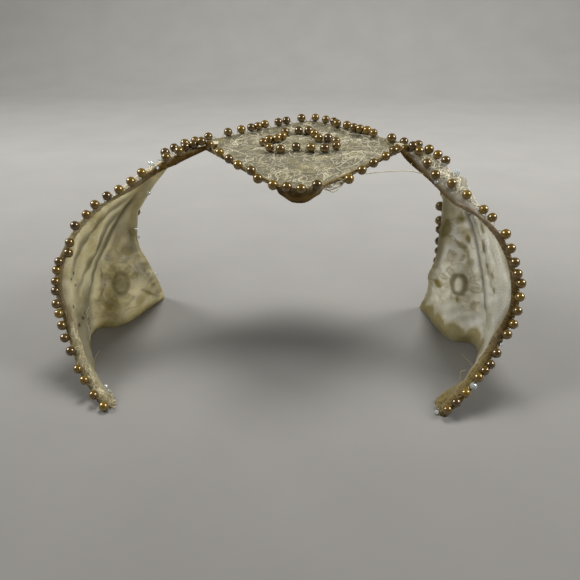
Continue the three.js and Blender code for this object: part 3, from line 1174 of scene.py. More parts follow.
@dataclass
class LaceDiamond:
    """The lozenge of lace on top of the head, its front tip rolled down."""

    half_width: float = 32.5
    corner_half_depth: float = 3.5
    corner_y: float = 15.5
    tip_x: float = 3.0
    tip_y: float = -16.2
    tail_y: float = 42.5
    tail_round: float = 3.0
    corner_height: float = 66.0
    back_rise: float = 0.09
    front_droop: float = 3.5
    tip_roll: float = 3.0
    tip_drop: float = 2.2
    fold_y: float = -14.3
    fold_round: float = 13.0
    fold_reach: float = 0.3
    bead_out: float = 1.2
    bead_lift: float = 2.2
    ring_centre: Pair = (-2.2, 18.0)
    ring_half: Pair = (11.4, 8.0)
    ring_lift: float = 1.6
    path_places: int = 121
    path_inset: float = 1.5
    half_thickness: float = 0.3
    hem_thickness: float = 0.6
    hem_width: float = 1.6
    turning: float = 2.0
    back_reach: float = 1.8
    rim_rise: float = 1.3
    rim_width: float = 4.0
    back_rim_rise: float = 0.9
    back_rim_width: float = 5.0
    flap_depth: float = 1.7
    flap_half: float = 5.7
    flap_drop: float = 2.7
    columns: int = 150
    rows: int = 110
    fine_cords: int = 850
    bold_cords: int = 80
    cord_lift: float = 0.36
    pattern_lift: float = 0.4
    seed: int = 11

    def edge(self, x: Array, end_x: float, end_y: float, rounding: float) -> Array:
        """An edge that runs from its rounded end out to the side corners.

        Args:
            x: places across the lace.
            end_x: X of its end.
            end_y: Y of its end.
            rounding: how round its end is.

        Returns:
            Y of the edge.
        """
        corner = np.where(x < end_x, -self.half_width, self.half_width)
        share = (np.hypot(x - end_x, rounding) - rounding) / (np.hypot(corner - end_x, rounding) - rounding)
        corner_edge = self.corner_y + math.copysign(self.corner_half_depth, end_y - self.corner_y)
        return end_y + (corner_edge - end_y) * share

    def fold(self, x: Array) -> Array:
        """Y of the fold that the front pearls follow."""
        return self.edge(x, self.tip_x, self.fold_y, self.fold_round)

    def back(self, x: Array) -> Array:
        """Y of the back edge."""
        return self.edge(x, 0.0, self.tail_y, self.tail_round)

    def height(self, y: Array) -> Array:
        """Height of the middle of the lace.

        Args:
            y: places from front to back.

        Returns:
            The heights.
        """
        forward = np.maximum(0, self.corner_y - y) / (self.corner_y - self.tip_y)
        roll = np.maximum(0, self.tip_y + self.tip_roll - y) / self.tip_roll
        rise = self.back_rise * (y - self.corner_y)
        return self.corner_height + rise - self.front_droop * forward ** 2 - self.tip_drop * roll ** 2

    def pearl_path(self, edge: Edge) -> Array:
        """Path of the pearl centres along an edge.

        Args:
            edge: the front or the back edge.

        Returns:
            Places from the left corner to the right.
        """
        reach = self.half_width - self.path_inset
        x = np.linspace(-reach, reach, self.path_places)
        y, out = (self.fold(x), -self.bead_out) if edge is Edge.FRONT else (self.back(x), self.bead_out)
        return LEAN.place(np.stack([x, y + out, self.height(y) + self.bead_lift], -1))

    def ring_path(self) -> Array:
        """Path of the pearl centres round the oval ring.

        Returns:
            Places once round.
        """
        angle = np.linspace(0, math.tau, self.path_places)
        x = self.ring_centre[0] + self.ring_half[0] * np.cos(angle)
        y = self.ring_centre[1] + self.ring_half[1] * np.sin(angle)
        return LEAN.place(np.stack([x, y, self.height(y) + self.ring_lift], -1))

    def cloth(self) -> Cloth:
        """Drape the lace, its rim raised to the pearls and its front tip hanging free.

        Returns:
            The lace as a grid with its marks.
        """
        x = self.half_width * np.linspace(-1, 1, self.columns + 1)[:, None]
        share = np.linspace(0, 1, self.rows + 1)[None, :]
        flap = self.flap_depth * np.exp(-np.abs((x - self.tip_x) / self.flap_half) ** 3)
        front, back = self.fold(x) - self.fold_reach - flap, self.back(x) + self.back_reach
        y = front + (back - front) * share
        level = np.maximum(y, self.tip_y + self.tip_roll)
        grid = LEAN.place(np.stack([np.broadcast_to(x, y.shape), y, self.height(level)], -1))
        inside = y - self.fold(x) + self.fold_reach
        over = np.maximum(0, self.fold(x) - self.fold_reach - y)
        front_rim = self.rim_rise * fall(inside, 0, self.rim_width) * fall(over, 0, 0.6)
        back_rim = self.back_rim_rise * fall(back - y, 0, self.back_rim_width)
        calm = smoothstep(np.minimum(y - front, back - y), 0, 5)
        swell = ripples(grid, 0.22, 14, self.seed) + ripples(grid, 0.12, 5, self.seed + 1)
        hang = self.flap_drop * (over / self.flap_depth) ** 1.2
        grid[..., 2] += np.maximum(front_rim, back_rim) + calm * swell - hang
        # The hem mark is the turned edge, partly its own colour and partly painted shade under the rim.
        front_hem = fall(y - front, 0.5 * self.hem_width, 1.3 * self.hem_width)
        back_hem = fall(back - y, 0.3 * self.hem_width, 0.8 * self.hem_width)
        # The under mark is painted shade on the front tip where it hangs past the fold.
        marks = {"hem": strongest((1.0, front_hem), (0.6, back_hem)), "under": smoothstep(over, 0.2, 0.8),
                 "weave": np.stack([np.broadcast_to(x, y.shape), y, np.zeros(y.shape)], -1)}
        cloth = Cloth("lace_top", grid, 1.0, marks)
        cloth.marks["leaf"] = 0.7 * cloth.near(LACE_LEAVES)
        return cloth

    def embroider(self, cloth: Cloth, cords: Cords) -> None:
        """Lay the lace's cords: wandering ones on both faces, then the scrolls and leaves of its pattern.

        Args:
            cloth: the lace.
            cords: piece to add to.
        """
        draw = np.random.default_rng(self.seed)
        for number in range(self.fine_cords + self.bold_cords):
            face = -1 if number % 5 else 1
            bold = number >= self.fine_cords
            stride, thin, thick = (0.6, 0.11, 0.16) if bold else (0.45, 0.07, 0.12)
            radius = float(draw.uniform(thin, thick))
            line = cloth.wander(draw, int(draw.integers(8, 24)), stride, 0.22, face * self.cord_lift)
            cords.lay(line, radius, (0.55, 1.0) if bold else (0.1, 0.9))
        for scroll in LACE_SCROLLS:
            cords.lay(cloth.drawn(scroll, 30, -self.pattern_lift), 0.13, (0.65, 0.9))
        for u, v, radius in LACE_LEAVES:
            middle = cloth.drawn(((u - 5, v + 1.5), (u, v), (u + 5, v - 1)), 14)
            cords.lay(cloth.leaf(middle, 0.8 * radius, -self.pattern_lift), 0.08, (0.5, 0.8))

    def build(self, rig: CordRig) -> Cloth:
        """Make the lace and its raised cords.

        Args:
            rig: tree for the cords.

        Returns:
            The cloth.
        """
        cloth = self.cloth()
        thick = self.half_thickness + (self.hem_thickness - self.half_thickness) * cloth.marks["hem"]
        piece = cloth.build(thick, thick)
        piece.data.materials.append(LaceFinish().material())
        cloth.area()
        enlist(piece, "lace", "lace_diamond")
        cords = Cords("lace_top_cords", self.seed)
        self.embroider(cloth, cords)
        finish = CordFinish("white_rayon_cord", "#6c6650", "#cbc2a4")
        enlist(cords.build(rig, finish.material()), "lace")
        return cloth


WING_LINES = {
    "front": (Row(32.9, 12, 67.2), Row(42.5, 4.5, 64.6, 1), Row(50, -0.6, 59, 0.4), Row(65.6, -10, 44.3),
              Row(72.1, -16.8, 28.7), Row(68, -24, 16.8), Row(61, -33.5, 7.5), Row(50, -42.8, 0)),
    "rib": (Row(32.9, 14.5, 67.6), Row(42.8, 7, 65.3, 0.3), Row(49, 2.6, 60.1, 1), Row(57, 4, 51.5, 0.9),
            Row(65.5, 4, 35.5), Row(72, 2.8, 19), Row(74.5, 1, 0)),
    "cheek": (Row(32.9, 16.8, 67.6), Row(42.6, 9, 65.4), Row(48, 4.2, 59.4), Row(53.5, 3.4, 49),
              Row(57.8, 2.6, 35), Row(61.5, 4.5, 18), Row(63, 3.5, 0)),
    "back": (Row(32.9, 19, 67.3), Row(42, 11, 65.2), Row(46.8, 5.6, 58.8), Row(49, 1.5, 48, 0.9),
             Row(50, 3, 36, 1), Row(50.5, 10, 25, 0.8), Row(52, 19, 12.7, 0.4), Row(53, 28, 0)),
}


@dataclass
class NetPlan:
    """Where each place of a wing's grid lies on the net.

    share runs from 0 at the neck to 1 at the hem, and across from 0 at the rolled lip to 1 at the back.
    The other measures are millimetres along the net.
    """

    grid: Array
    share: Array
    across: Array
    lip_columns: int

    def __post_init__(self) -> None:
        """Measure the net along its columns and rows."""
        heights = np.linalg.norm(np.diff(self.grid, axis=0, append=self.grid[-1:]), axis=2)
        widths = np.linalg.norm(np.diff(self.grid, axis=1, append=self.grid[:, -1:]), axis=2)
        self.down = np.cumsum(heights[::-1], axis=0)[::-1]
        self.along = np.cumsum(widths, axis=1)
        self.to_back = np.cumsum(widths[:, ::-1], axis=1)[:, ::-1]
        self.from_front = self.along - self.along[:, self.lip_columns:self.lip_columns + 1]


@dataclass
class NetWing:
    """A fan of net that hangs from a corner of the lozenge and cups the side of the head.

    The two wings differ in the fields without a value. A pair named across or down says where a part of the
    net begins and ends, as shares of the way across from the rolled lip or down from the neck.
    """

    REACH_DOWN: ClassVar[tuple[float, ...]] = (0.1, 0.3, 0.55, 0.8)
    BACK_REACH_DOWN: ClassVar[tuple[float, ...]] = (0.05, 0.2, 0.35, 0.5, 0.7, 1.0)
    LIP_DEPTH_DOWN: ClassVar[tuple[float, ...]] = (0, 0.1, 0.24, 0.5, 0.7, 1)
    LIP_TONE_DOWN: ClassVar[tuple[float, ...]] = (0.16, 0.3, 0.45, 0.6, 0.8)

    side: Side
    finish: NetFinish
    sag: float
    bow: float
    shoulder: float
    front_end: Row
    end_turn: Triple
    front_reach: tuple[float, ...]
    back_reach: tuple[float, ...]
    back_tuck: float
    lip_share: float
    lip_tones: tuple[float, ...]
    strip_tone: float
    back_tone: float
    scallop: float
    ring: Pair
    ring_tone: Pair
    raised: int
    tucks: tuple[Tuck, ...]
    specks: Spots
    blots: Spots
    lights: Spots
    leaves: tuple[Motif, ...]
    curls: tuple[Motif, ...]
    seed: int
    flat_size: Pair = (0.095, 0.088)
    ring_half: Pair = (6.5, 10.0)
    halo_half: Pair = (16.5, 21.0)
    disc_radius: float = 3.4
    lip_depth: float = 2.9
    curl_width: float = 0.6
    curl_turn: float = 1.6 * math.pi
    pleat_depth: float = 0.8
    pleats: int = 3
    pleats_down: Pair = (0.3, 0.55)
    rib_front: float = 0.16
    rib_cheek: float = 0.4
    hem_height: float = 6.0
    hem_blur: float = 2.0
    back_hem: float = 2.0
    back_blur: float = 1.2
    lap: float = 3.4
    lap_drop: float = 0.9
    edge_roll: float = 0.25
    bead_out: float = 1.2
    bead_lift: float = 2.2
    bead_seat: float = 1.85
    bead_floor: float = 1.8
    corner_bead: float = 3.2
    hem_beads_across: Pair = (0.32, 0.985)
    hem_bead_height: float = 1.65
    hem_bead_seat: float = 2.15
    hem_cloth_height: float = 1.7
    lip_across: Pair = (0.16, 0.24)
    lip_thins_down: Pair = (0.75, 0.95)
    neck_across: Pair = (0.26, 0.5)
    neck_down: Pair = (0.16, 0.36)
    top_across: Pair = (0.3, 0.45)
    top_down: Pair = (0.2, 0.42)
    strip_across: Pair = (0.2, 0.27)
    strip_down: Pair = (0.68, 0.8)
    panel_across: Pair = (0.36, 0.44)
    behind_across: Pair = (0.36, 0.5)
    age_and_shade_down: Pair = (0.45, 0.8)
    tuck_height: float = 0.65
    tuck_back: float = 1.6
    tuck_face: float = 0.8
    tuck_shadow: Pair = (1.0, 0.6)
    half_thickness: float = 0.28
    hem_thickness: float = 0.6
    cord_lift: float = 0.34
    pattern_lift: float = 0.36
    rows: int = 170
    steps: tuple[int, ...] = (16, 84, 30, 30, 40)
    cords: int = 75
    strip_cords: int = 160
    neck_cords: int = 200
    petals: int = 8
    petal_reach: Pair = (4.2, 7.8)
    petal_half: float = 1.1
    spray: int = 6
    spray_half: float = 0.6
    lobe: float = 9.0

    def __post_init__(self) -> None:
        """Draw the wing's four lines."""
        self.lines: dict[str, SmoothCurve] = {}
        for name, rows in WING_LINES.items():
            sag = self.sag if name == "front" else 0.0
            bow = self.bow if name == "back" else 0.0
            ended = (*rows[:-1], self.front_end) if name == "front" else rows
            rise = self.shoulder if name == "rib" else 0.0
            self.lines[name] = SmoothCurve([(r.x + (bow + rise) * r.give, r.y, r.z + (rise - sag) * r.give)
                                            for r in ended])

    def edge_directions(self, share: float, edge: Edge) -> tuple[Array, Array]:
        """Directions at an edge of the cloth.

        Args:
            share: share of the way from the neck to the hem.
            edge: which edge.

        Returns:
            Directions past the edge and out of the outer face.
        """
        beside, turn = ("rib", -1) if edge is Edge.FRONT else ("cheek", 1)
        along = self.lines[edge.value].tangent(share)
        inwards = self.lines[beside].by_length(share) - self.lines[edge.value].by_length(share)
        inwards = unit(inwards - (inwards @ along) * along)
        return -inwards, np.cross(inwards, along) * turn

    def cloth_edge(self, share: float, edge: Edge) -> Array:
        """An edge of the cloth, which reaches a little past or short of its solid's to meet the pearls.

        Args:
            share: share of the way from the neck to the hem.
            edge: which edge.

        Returns:
            A place before the lean.
        """
        out, outer = self.edge_directions(share, edge)
        if edge is Edge.FRONT:
            reach, way = np.interp(share, self.REACH_DOWN, self.front_reach), unit(out + outer)
        else:
            reach = np.interp(share, self.BACK_REACH_DOWN, self.back_reach)
            way = np.array([-1.0, 0.0, 0.0])
        return self.lines[edge.value].by_length(share) + reach * way

    def section(self, share: float, params: Array) -> Array:
        """One section of the cloth, from the rolled lip round to the back edge.

        Args:
            share: share of the way from the neck to the hem.
            params: places along the section.

        Returns:
            Places before the lean.
        """
        rib, cheek = (self.lines[name].by_length(share) for name in ("rib", "cheek"))
        front, back = (self.cloth_edge(share, edge) for edge in Edge)
        out, outer = self.edge_directions(share, Edge.FRONT)
        spans = len(self.steps)
        lip_shares = (0.3, 1, self.lip_share, self.lip_share, 0.9, 0.8)
        deep = self.lip_depth * np.interp(share, self.LIP_DEPTH_DOWN, lip_shares)
        before_rib, past_rib = rib + self.rib_front * (front - rib), rib + self.rib_cheek * (cheek - rib)
        curve = SmoothCurve([front, before_rib, past_rib, cheek, back])
        points = curve.at((params * spans - 1) / (spans - 1))
        curl = self.curl_turn * np.clip(1 - params * spans, 0, 1)[:, None]
        points += self.curl_width * np.sin(curl) * out - 0.5 * deep * (1 - np.cos(curl)) * outer
        across = np.clip(params * spans - 1, 0, 1)
        depth = self.pleat_depth * smoothstep(share, *self.pleats_down)
        points -= outer * (0.5 * depth * (1 - np.cos(self.pleats * math.tau * across)))[:, None]
        if share == 1:
            points[:, 2] = 0
        return points

    def params(self) -> Array:
        """Places of the grid's columns along a section."""
        runs = [(s + np.arange(n) / n) / len(self.steps) for s, n in enumerate(self.steps)]
        return np.concatenate([*runs, [1.0]])

    def front_path(self) -> Array:
        """Path of the pearl centres along the front edge.

        Returns:
            Places from the neck on past the cut corner.
        """
        points = []
        for share in np.linspace(0.02, 0.985, 120):
            out, outer = self.edge_directions(share, Edge.FRONT)
            edge = self.lines["front"].by_length(share)
            points.append(edge + self.bead_out * out + self.bead_lift * outer)
        points.append(points[-1] + self.corner_bead * unit((points[-1] - points[-4]) * np.array([1, 1, 0])))
        path = LEAN.place(np.array(points), self.side)
        path[:, 2] = np.maximum(path[:, 2], self.bead_floor)
        return path

    def back_path(self, cloth: Cloth) -> Array:
        """Path of the pearl centres on the outer face, beside the back edge.

        Args:
            cloth: the net.

        Returns:
            Places from the neck to the hem.
        """
        path = []
        for line, normals in zip(cloth.middle[5:-6], cloth.normals[5:-6]):
            runs = np.linalg.norm(np.diff(line, axis=0, append=line[-1:]), axis=1)
            to_edge = np.cumsum(runs[::-1])[::-1]
            column = int(np.argmin(np.abs(to_edge - self.back_tuck)))
            path.append(line[column] - self.bead_seat * normals[column])
        path = np.array(path)
        path[:, 2] = np.maximum(path[:, 2], self.bead_floor)
        return path

    def hem_path(self, cloth: Cloth) -> Array:
        """Path of the pearl centres on the outer face, just above the hem.

        Args:
            cloth: the net.

        Returns:
            Places from the pleats to the back edge.
        """
        params, low = self.params(), len(cloth.middle) - 14
        first, last = self.hem_beads_across
        columns = np.nonzero((params > first) & (params < last))[0][::4]
        rows = low + np.argmin(np.abs(cloth.middle[low:, columns, 2] - self.hem_cloth_height), axis=0)
        path = cloth.middle[rows, columns] - self.hem_bead_seat * cloth.normals[rows, columns]
        path[:, 2] = self.hem_bead_height
        return path

    def grid(self, params: Array, shares: Array) -> Array:
        """The middle of the net, with a lap that goes under the lozenge's corner.

        Args:
            params: places of the columns along a section.
            shares: places of the rows down the wing.

        Returns:
            Places row by row.
        """
        grid = LEAN.place(np.array([self.section(s, params) for s in shares]), self.side)
        back = unit(grid[0] - grid[2])
        lap = [grid[0] + back * step - np.array([0, 0, self.lap_drop * step / self.lap])
               for step in (self.lap, 0.5 * self.lap)]
        return np.concatenate([np.array(lap), grid])

    def tuck_marks(self, cloth: Cloth) -> tuple[Array, Array]:
        """Press the tucks, each steep on one side and soft on the other.

        Args:
            cloth: the net.

        Returns:
            Their height and their shade, over the grid.
        """
        rows, columns = cloth.middle.shape[:2]
        lip_columns, out_of_reach, touching = self.steps[0] + 2, 9.0, 0.5
        least_rows = 8
        height, shade = np.zeros((rows, columns)), np.zeros((rows, columns))
        for tuck in self.tucks:
            gap = distance_to(cloth.middle, cloth.drawn(tuck.line, 60))
            gap[:, :lip_columns] = out_of_reach
            crossed = np.nonzero(gap.min(axis=1) < touching)[0]
            if len(crossed) < least_rows:
                continue
            fade = smoothstep(np.arange(rows), crossed[0] - 4, crossed[0] + 12)
            fade *= fall(np.arange(rows), crossed[-1] - 14, crossed[-1] + 4)
            past = np.arange(columns)[None, :] >= np.argmin(gap, axis=1)[:, None]
            beside = np.where(past, gap, -gap) * self.raised
            soft = np.where(beside >= 0, np.exp(-np.abs(beside) / self.tuck_back),
                            np.exp(-(beside / self.tuck_face) ** 2))
            # Painted shade beside each tuck, wider on its steep side.
            dark = np.exp(-(beside / np.where(beside < 0, *self.tuck_shadow)) ** 2)
            height = np.maximum(height, self.tuck_height * tuck.strength * fade[:, None] * soft)
            shade = np.maximum(shade, tuck.strength * fade[:, None] * dark)
        return height, shade

    def rosette(self, cloth: Cloth) -> list[tuple[Array, float]]:
        """Petals about the ring, and leaves above and beside it.

        Args:
            cloth: the net.

        Returns:
            The middle line and half width of each.
        """
        origin, normal = cloth.seen(self.ring)
        rows, columns = cloth.middle.shape[:2]
        row, column = divmod(int(np.argmin(np.linalg.norm(cloth.middle - origin, axis=-1))), columns)
        up = unit(cloth.middle[row - 8, column] - cloth.middle[min(row + 8, rows - 1), column])
        right = np.cross(up, normal)
        strokes = []
        for angle in math.tau * (np.arange(self.petals) + 0.5) / self.petals:
            way = np.array([math.cos(angle), math.sin(angle)])
            strokes.append((*(reach * way for reach in self.petal_reach), self.petal_half))
        for number in range(self.spray):
            hand, rise, out = (-1) ** number, 10.0 + 2.5 * number, 2.4 * number
            for start, end in (((0.3 * hand, rise), (2.7 * hand, rise + 1.8)),
                               (((4.0 + out) * hand, -8.4), ((6.8 + out) * hand, -7.2))):
                strokes.append((np.array(start), np.array(end), self.spray_half))
        found = []
        for start, end, half_width in strokes:
            flat = start + (end - start) * np.linspace(0, 1, 12)[:, None]
            goals = origin + flat[:, :1] * right + flat[:, 1:] * up
            middle = np.array([cloth.nearest(goal)[0] for goal in goals])
            astray = np.linalg.norm(middle - goals, axis=1).max() > 3.0
            shrunk = np.linalg.norm(middle[-1] - middle[0]) < 0.6 * np.linalg.norm(end - start)
            if not astray and not shrunk:
                found.append((middle, half_width))
        return found

    def embroider(self, cloth: Cloth, cords: Cords) -> None:
        """Lay the outlines of the lace pattern on both faces, and scallops over the hem.

        Args:
            cloth: the net.
            cords: piece to add to.
        """
        across, down = cloth.marks["weave"][-1, :, 0], cloth.marks["weave"][..., 1]
        high = 4.6 + 1.7 * np.abs(np.sin(math.pi * across / self.lobe))
        columns = np.arange(2 * sum(self.steps) // 5 + 12, len(across) - 3, 2)
        rows = np.argmin(np.abs(down[:, columns] - high[columns]), axis=0)
        for lift in (self.pattern_lift, -self.pattern_lift):
            for middle, half_width in self.strokes:
                cords.lay(cloth.leaf(middle, half_width, lift), 0.08, (0.4, 1.0))
            scallops = cloth.middle[rows, columns] + lift * cloth.normals[rows, columns]
            cords.lay(SmoothCurve(scallops).by_length(np.linspace(0, 1, 90)), 0.1, (0.4, 0.8))

    def hems(self, plan: NetPlan) -> Array:
        """Mark the turned hem and the doubled back edge.

        Args:
            plan: where the net's places lie.

        Returns:
            How far each place lies on them, from 0 to 1.
        """
        wave = 0.5 * np.abs(np.sin(plan.along[-1:] * math.pi / self.lobe)) - 0.2
        lobes = self.hem_height * (1 + self.scallop * wave)
        bottom = fall(plan.down - lobes, -((1 - self.scallop) * self.hem_height + self.hem_blur), 0.5)
        wider = 1.5 * fall(plan.share, 0.25, 0.6)
        past = plan.to_back - self.back_hem * (1 + wider)
        back = fall(past, -self.back_blur, self.back_blur + wider)
        return strongest((1.0, bottom), (self.back_tone, back))

    def lip_roll(self, plan: NetPlan) -> Array:
        """How far each place lies on the rolled lip, from 0 to 1, with a ragged inner edge."""
        ragged = plan.across + ripples(plan.grid, 0.006, 3.5, self.seed + 2)
        return fall(ragged, *self.lip_across) * (1 - 0.6 * smoothstep(plan.share, *self.lip_thins_down))

    def ring_mark(self, cloth: Cloth) -> Array:
        """Mark the embroidered ring and the disc inside it.

        Args:
            cloth: the net.

        Returns:
            How strongly each place shows them, from 0 to 1.
        """
        loop = np.linspace(0, math.tau, 37)
        oval = np.stack([self.ring[0] + self.ring_half[0] * np.cos(loop),
                         self.ring[1] + self.ring_half[1] * np.sin(loop)], -1)
        gap = distance_to(cloth.middle, cloth.drawn(oval, 48))
        line_tone, disc_tone = self.ring_tone
        return strongest((line_tone, fall(gap, 0.3, 1.5)),
                         (disc_tone, cloth.near(((*self.ring, self.disc_radius),))))

    def mark(self, cloth: Cloth, plan: NetPlan) -> None:
        """Work out where the net is turned, aged, stained and embroidered, and where shade and light are
        painted on it.

        Args:
            cloth: the net, before it is draped.
            plan: where its places lie.
        """
        hem, roll = self.hems(plan), self.lip_roll(plan)
        # The neck's brown is partly its own colour, partly painted shade.
        neck = fall(plan.across, *self.neck_across) * fall(plan.share, *self.neck_down)
        # top: painted shade, in the hem's olive, high on the cheek and back of the wing.
        top = fall(plan.share, *self.top_down) * smoothstep(plan.across, *self.top_across)
        strip = fall(plan.across, *self.strip_across) * smoothstep(plan.share, *self.strip_down)
        # The front panel is darkened with painted shade.
        panel = fall(plan.across, *self.panel_across) * np.ones_like(plan.down)
        # behind: painted shade on the band of net just past the strip, low on the front edge.
        behind = smoothstep(plan.across, *self.strip_across) * fall(plan.across, *self.behind_across)
        behind = behind * smoothstep(plan.share, *self.strip_down) * (1 - self.strip_tone)
        # The second of the tuck marks is painted shade beside each tuck.
        self.crease, seam = (mark * smoothstep(plan.across, 0.2, 0.26) for mark in self.tuck_marks(cloth))
        leaves, curls = ([(cloth.drawn(motif.line, 14), motif.half_width) for motif in motifs]
                         for motifs in (self.leaves, self.curls))
        petals = self.rosette(cloth)
        self.strokes = leaves + curls + petals
        leaf, curl, petal = (np.maximum.reduce([cloth.stroke(*stroke) for stroke in strokes])
                             for strokes in (leaves, curls, petals))
        # The lip's brown, with its strength down the wing, is partly its own colour and partly painted shade;
        # beside the lip a painted shade fades onto the panel.
        lip_tone = np.interp(plan.share, self.LIP_TONE_DOWN, self.lip_tones)
        lip = lip_tone * roll * (1 - strip) + 0.6 * self.strip_tone * strip
        lip_shade = lip_tone * fall(plan.from_front + ripples(plan.grid, 0.5, 3.0, self.seed + 3), 0.8, 4.0)
        turned = 0.65 * hem * (1 - strip) + self.strip_tone * strip
        cloth.marks = {
            "leaf": strongest((0.7, leaf), (0.2, petal)),
            # Darker blotchy tone towards the hem and over the front panel: partly ageing, partly painted
            # shade.
            "age": np.maximum(smoothstep(plan.share, *self.age_and_shade_down), panel),
            # Turned hems, strip and blots, with painted shade at the top of the wing.
            "hem": strongest((1.0, turned), (0.45, cloth.near(self.blots)),
                             (0.3 + 0.2 * self.back_tone, top)),
            # Rolled lip and neck, partly painted shade, with painted shade beside the lip.
            "lip": strongest((0.9, neck), (1.0, lip), (0.55, lip_shade * (1 - strip))),
            "mottle": strongest((0.35, neck), (0.4, roll), (0.35 + 0.5 * self.strip_tone, strip)),
            # Painted shade of the tucks, of the band behind the strip and of the front panel, and grey over
            # the strip.
            "seam": strongest((0.75, seam), (0.4 * (1 - self.strip_tone), strip), (0.6, behind),
                              (0.16 * self.back_tone, panel)),
            "ring": self.ring_mark(cloth),
            # Curls, and pale spots that are partly lace petals and partly painted light.
            "petal": strongest((0.7, cloth.near(self.lights)), (0.8, curl)),
            "stain": 0.85 * cloth.near(self.specks),
            "solid": np.maximum.reduce([hem, roll, neck, strip, leaf]),
            "weave": np.stack([plan.along, plan.down, np.zeros(plan.down.shape)], -1)}
        cloth.outer_marks = {"lip": lip}
        self.hem = hem
        self.bulge = np.exp(-((plan.across - 0.17) / 0.04) ** 2) * np.ones_like(plan.down)
        self.neck_patch = fall(plan.share, 0.2, 0.6) * (plan.across > 0.25)

    def drape(self, cloth: Cloth, plan: NetPlan) -> None:
        """Let the net swell as handled cloth does, and turn the end of its front edge.

        Args:
            cloth: the net.
            plan: where its places lie.
        """
        calm = smoothstep(plan.down, 0, 8) * (1 - 0.7 * self.lip_roll(plan))
        calm = calm * smoothstep(plan.share, 0.03, 0.2)
        swell = ripples(plan.grid, 0.25, 16, self.seed) + ripples(plan.grid, 0.12, 4.5, self.seed + 1)
        inwards, back, up = self.end_turn
        turned = smoothstep(plan.from_front, 0.3, 3.5) * fall(plan.from_front, 5, 18) * fall(plan.down, 0, 9)
        cloth.middle = plan.grid + cloth.normals * (calm * swell)[..., None]
        cloth.middle += turned[..., None] * np.array([-self.side.value * inwards, back, up])
        cloth.survey()

    def cloth(self) -> Cloth:
        """Hang the net with its marks, tucks and turned hems.

        Returns:
            The net as a grid.
        """
        params = self.params()
        shares = np.linspace(0, 1, self.rows + 1)
        grid = self.grid(params, shares)
        plan = NetPlan(grid, np.concatenate([[0, 0], shares])[:, None], params[None, :], self.steps[0])
        cloth = Cloth(f"net_{self.side.word}", grid, float(self.side.value), first_column=self.steps[0] + 10)
        self.mark(cloth, plan)
        self.drape(cloth, plan)
        return cloth

    def whip(self, cloth: Cloth, sewing: Cords) -> None:
        """Lay slanted stitches over the rolled front edge.

        Args:
            cloth: the net.
            sewing: thread to add to.
        """
        draw = np.random.default_rng(self.seed + 5)
        lift = -self.half_thickness - 0.12
        if self.strip_tone >= 0.5:
            self.knots(cloth, sewing, draw)
        row = 0.1 * self.rows
        while row < 0.74 * self.rows:
            columns = np.linspace(draw.uniform(0, 4), self.steps[0] + draw.uniform(3, 10), 12)
            rows = np.linspace(row, row + draw.uniform(3, 9), 12)
            sewing.lay(cloth.between(rows, columns, lift), draw.uniform(0.07, 0.11), (0.3, 1.0))
            row += draw.uniform(2, 7)

    def knots(self, cloth: Cloth, cords: Cords, draw: Generator) -> None:
        """Lay short curls of cord over the strip at the end of the front edge.

        Args:
            cloth: the net.
            cords: piece to add to.
            draw: source of the curls.
        """
        for _ in range(self.strip_cords):
            steps = int(draw.integers(5, 12))
            heading = draw.uniform(0, math.tau) + np.cumsum(draw.normal(0, 0.6, steps))
            rows = draw.uniform(0.72, 1.0) * self.rows + np.cumsum(0.8 * np.sin(heading))
            columns = draw.uniform(1, self.steps[0] + 8) + np.cumsum(1.1 * np.cos(heading))
            line = cloth.between(rows, columns, -self.half_thickness - 0.08)
            cords.lay(line, float(draw.uniform(0.06, 0.11)), (0.0, 0.35))

    def lay_cords(self, cloth: Cloth, cords: Cords) -> None:
        """Lay the net's cords: wandering ones, a tangle at the neck, the pattern and the ring's arc.

        Args:
            cloth: the net.
            cords: piece to add to.
        """
        draw = np.random.default_rng(self.seed)
        for number in range(self.cords):
            face = 1 if number % 3 == 0 else -1
            line = cloth.wander(draw, int(draw.integers(8, 24)), 0.6, 0.2, face * self.cord_lift)
            cords.lay(line, float(draw.uniform(0.07, 0.12)), (0.3, 1.0))
        for _ in range(self.neck_cords):
            line = cloth.wander(draw, int(draw.integers(5, 14)), 0.5, 0.35, -self.cord_lift, self.neck_patch)
            cords.lay(line, float(draw.uniform(0.08, 0.13)), (0.7, 1.0))
        if self.strip_tone < 0.5:
            self.knots(cloth, cords, draw)
        self.embroider(cloth, cords)
        loop = np.linspace(0.95 * math.pi, 2.0 * math.pi, 40)
        wide, high = self.halo_half
        halo = np.array(self.ring) + np.stack([wide * np.cos(loop), high * np.sin(loop)], -1)
        cords.lay(cloth.drawn(halo, 50, self.pattern_lift), 0.08, (0.0, 0.0))

    def build(self, rig: CordRig, cord_finish: Material) -> Cloth:
        """Make the net with its lace cords.

        Args:
            rig: tree for the cords.
            cord_finish: finish of the lace cords.

        Returns:
            The cloth.
        """
        cloth = self.cloth()
        flat = smoothstep(self.params()[None, :], 0.2, 0.24)
        thick = self.half_thickness + (self.hem_thickness - self.half_thickness) * self.hem * flat
        flowers = cloth.marks["petal"] + cloth.marks["leaf"]
        raised = self.crease + 0.25 * cloth.marks["ring"] + 0.12 * flowers
        piece = cloth.build(thick + raised * flat, thick + self.edge_roll * self.bulge)
        piece.data.materials.append(self.finish.material(f"aged_net_{self.side.word}"))
        cloth.area()
        enlist(piece, "net", f"net_wing_{self.side.word}")
        cords = Cords(f"net_{self.side.word}_cords", self.seed)
        self.lay_cords(cloth, cords)
        enlist(cords.build(rig, cord_finish), "lace")
        return cloth


# Pearls and sewing

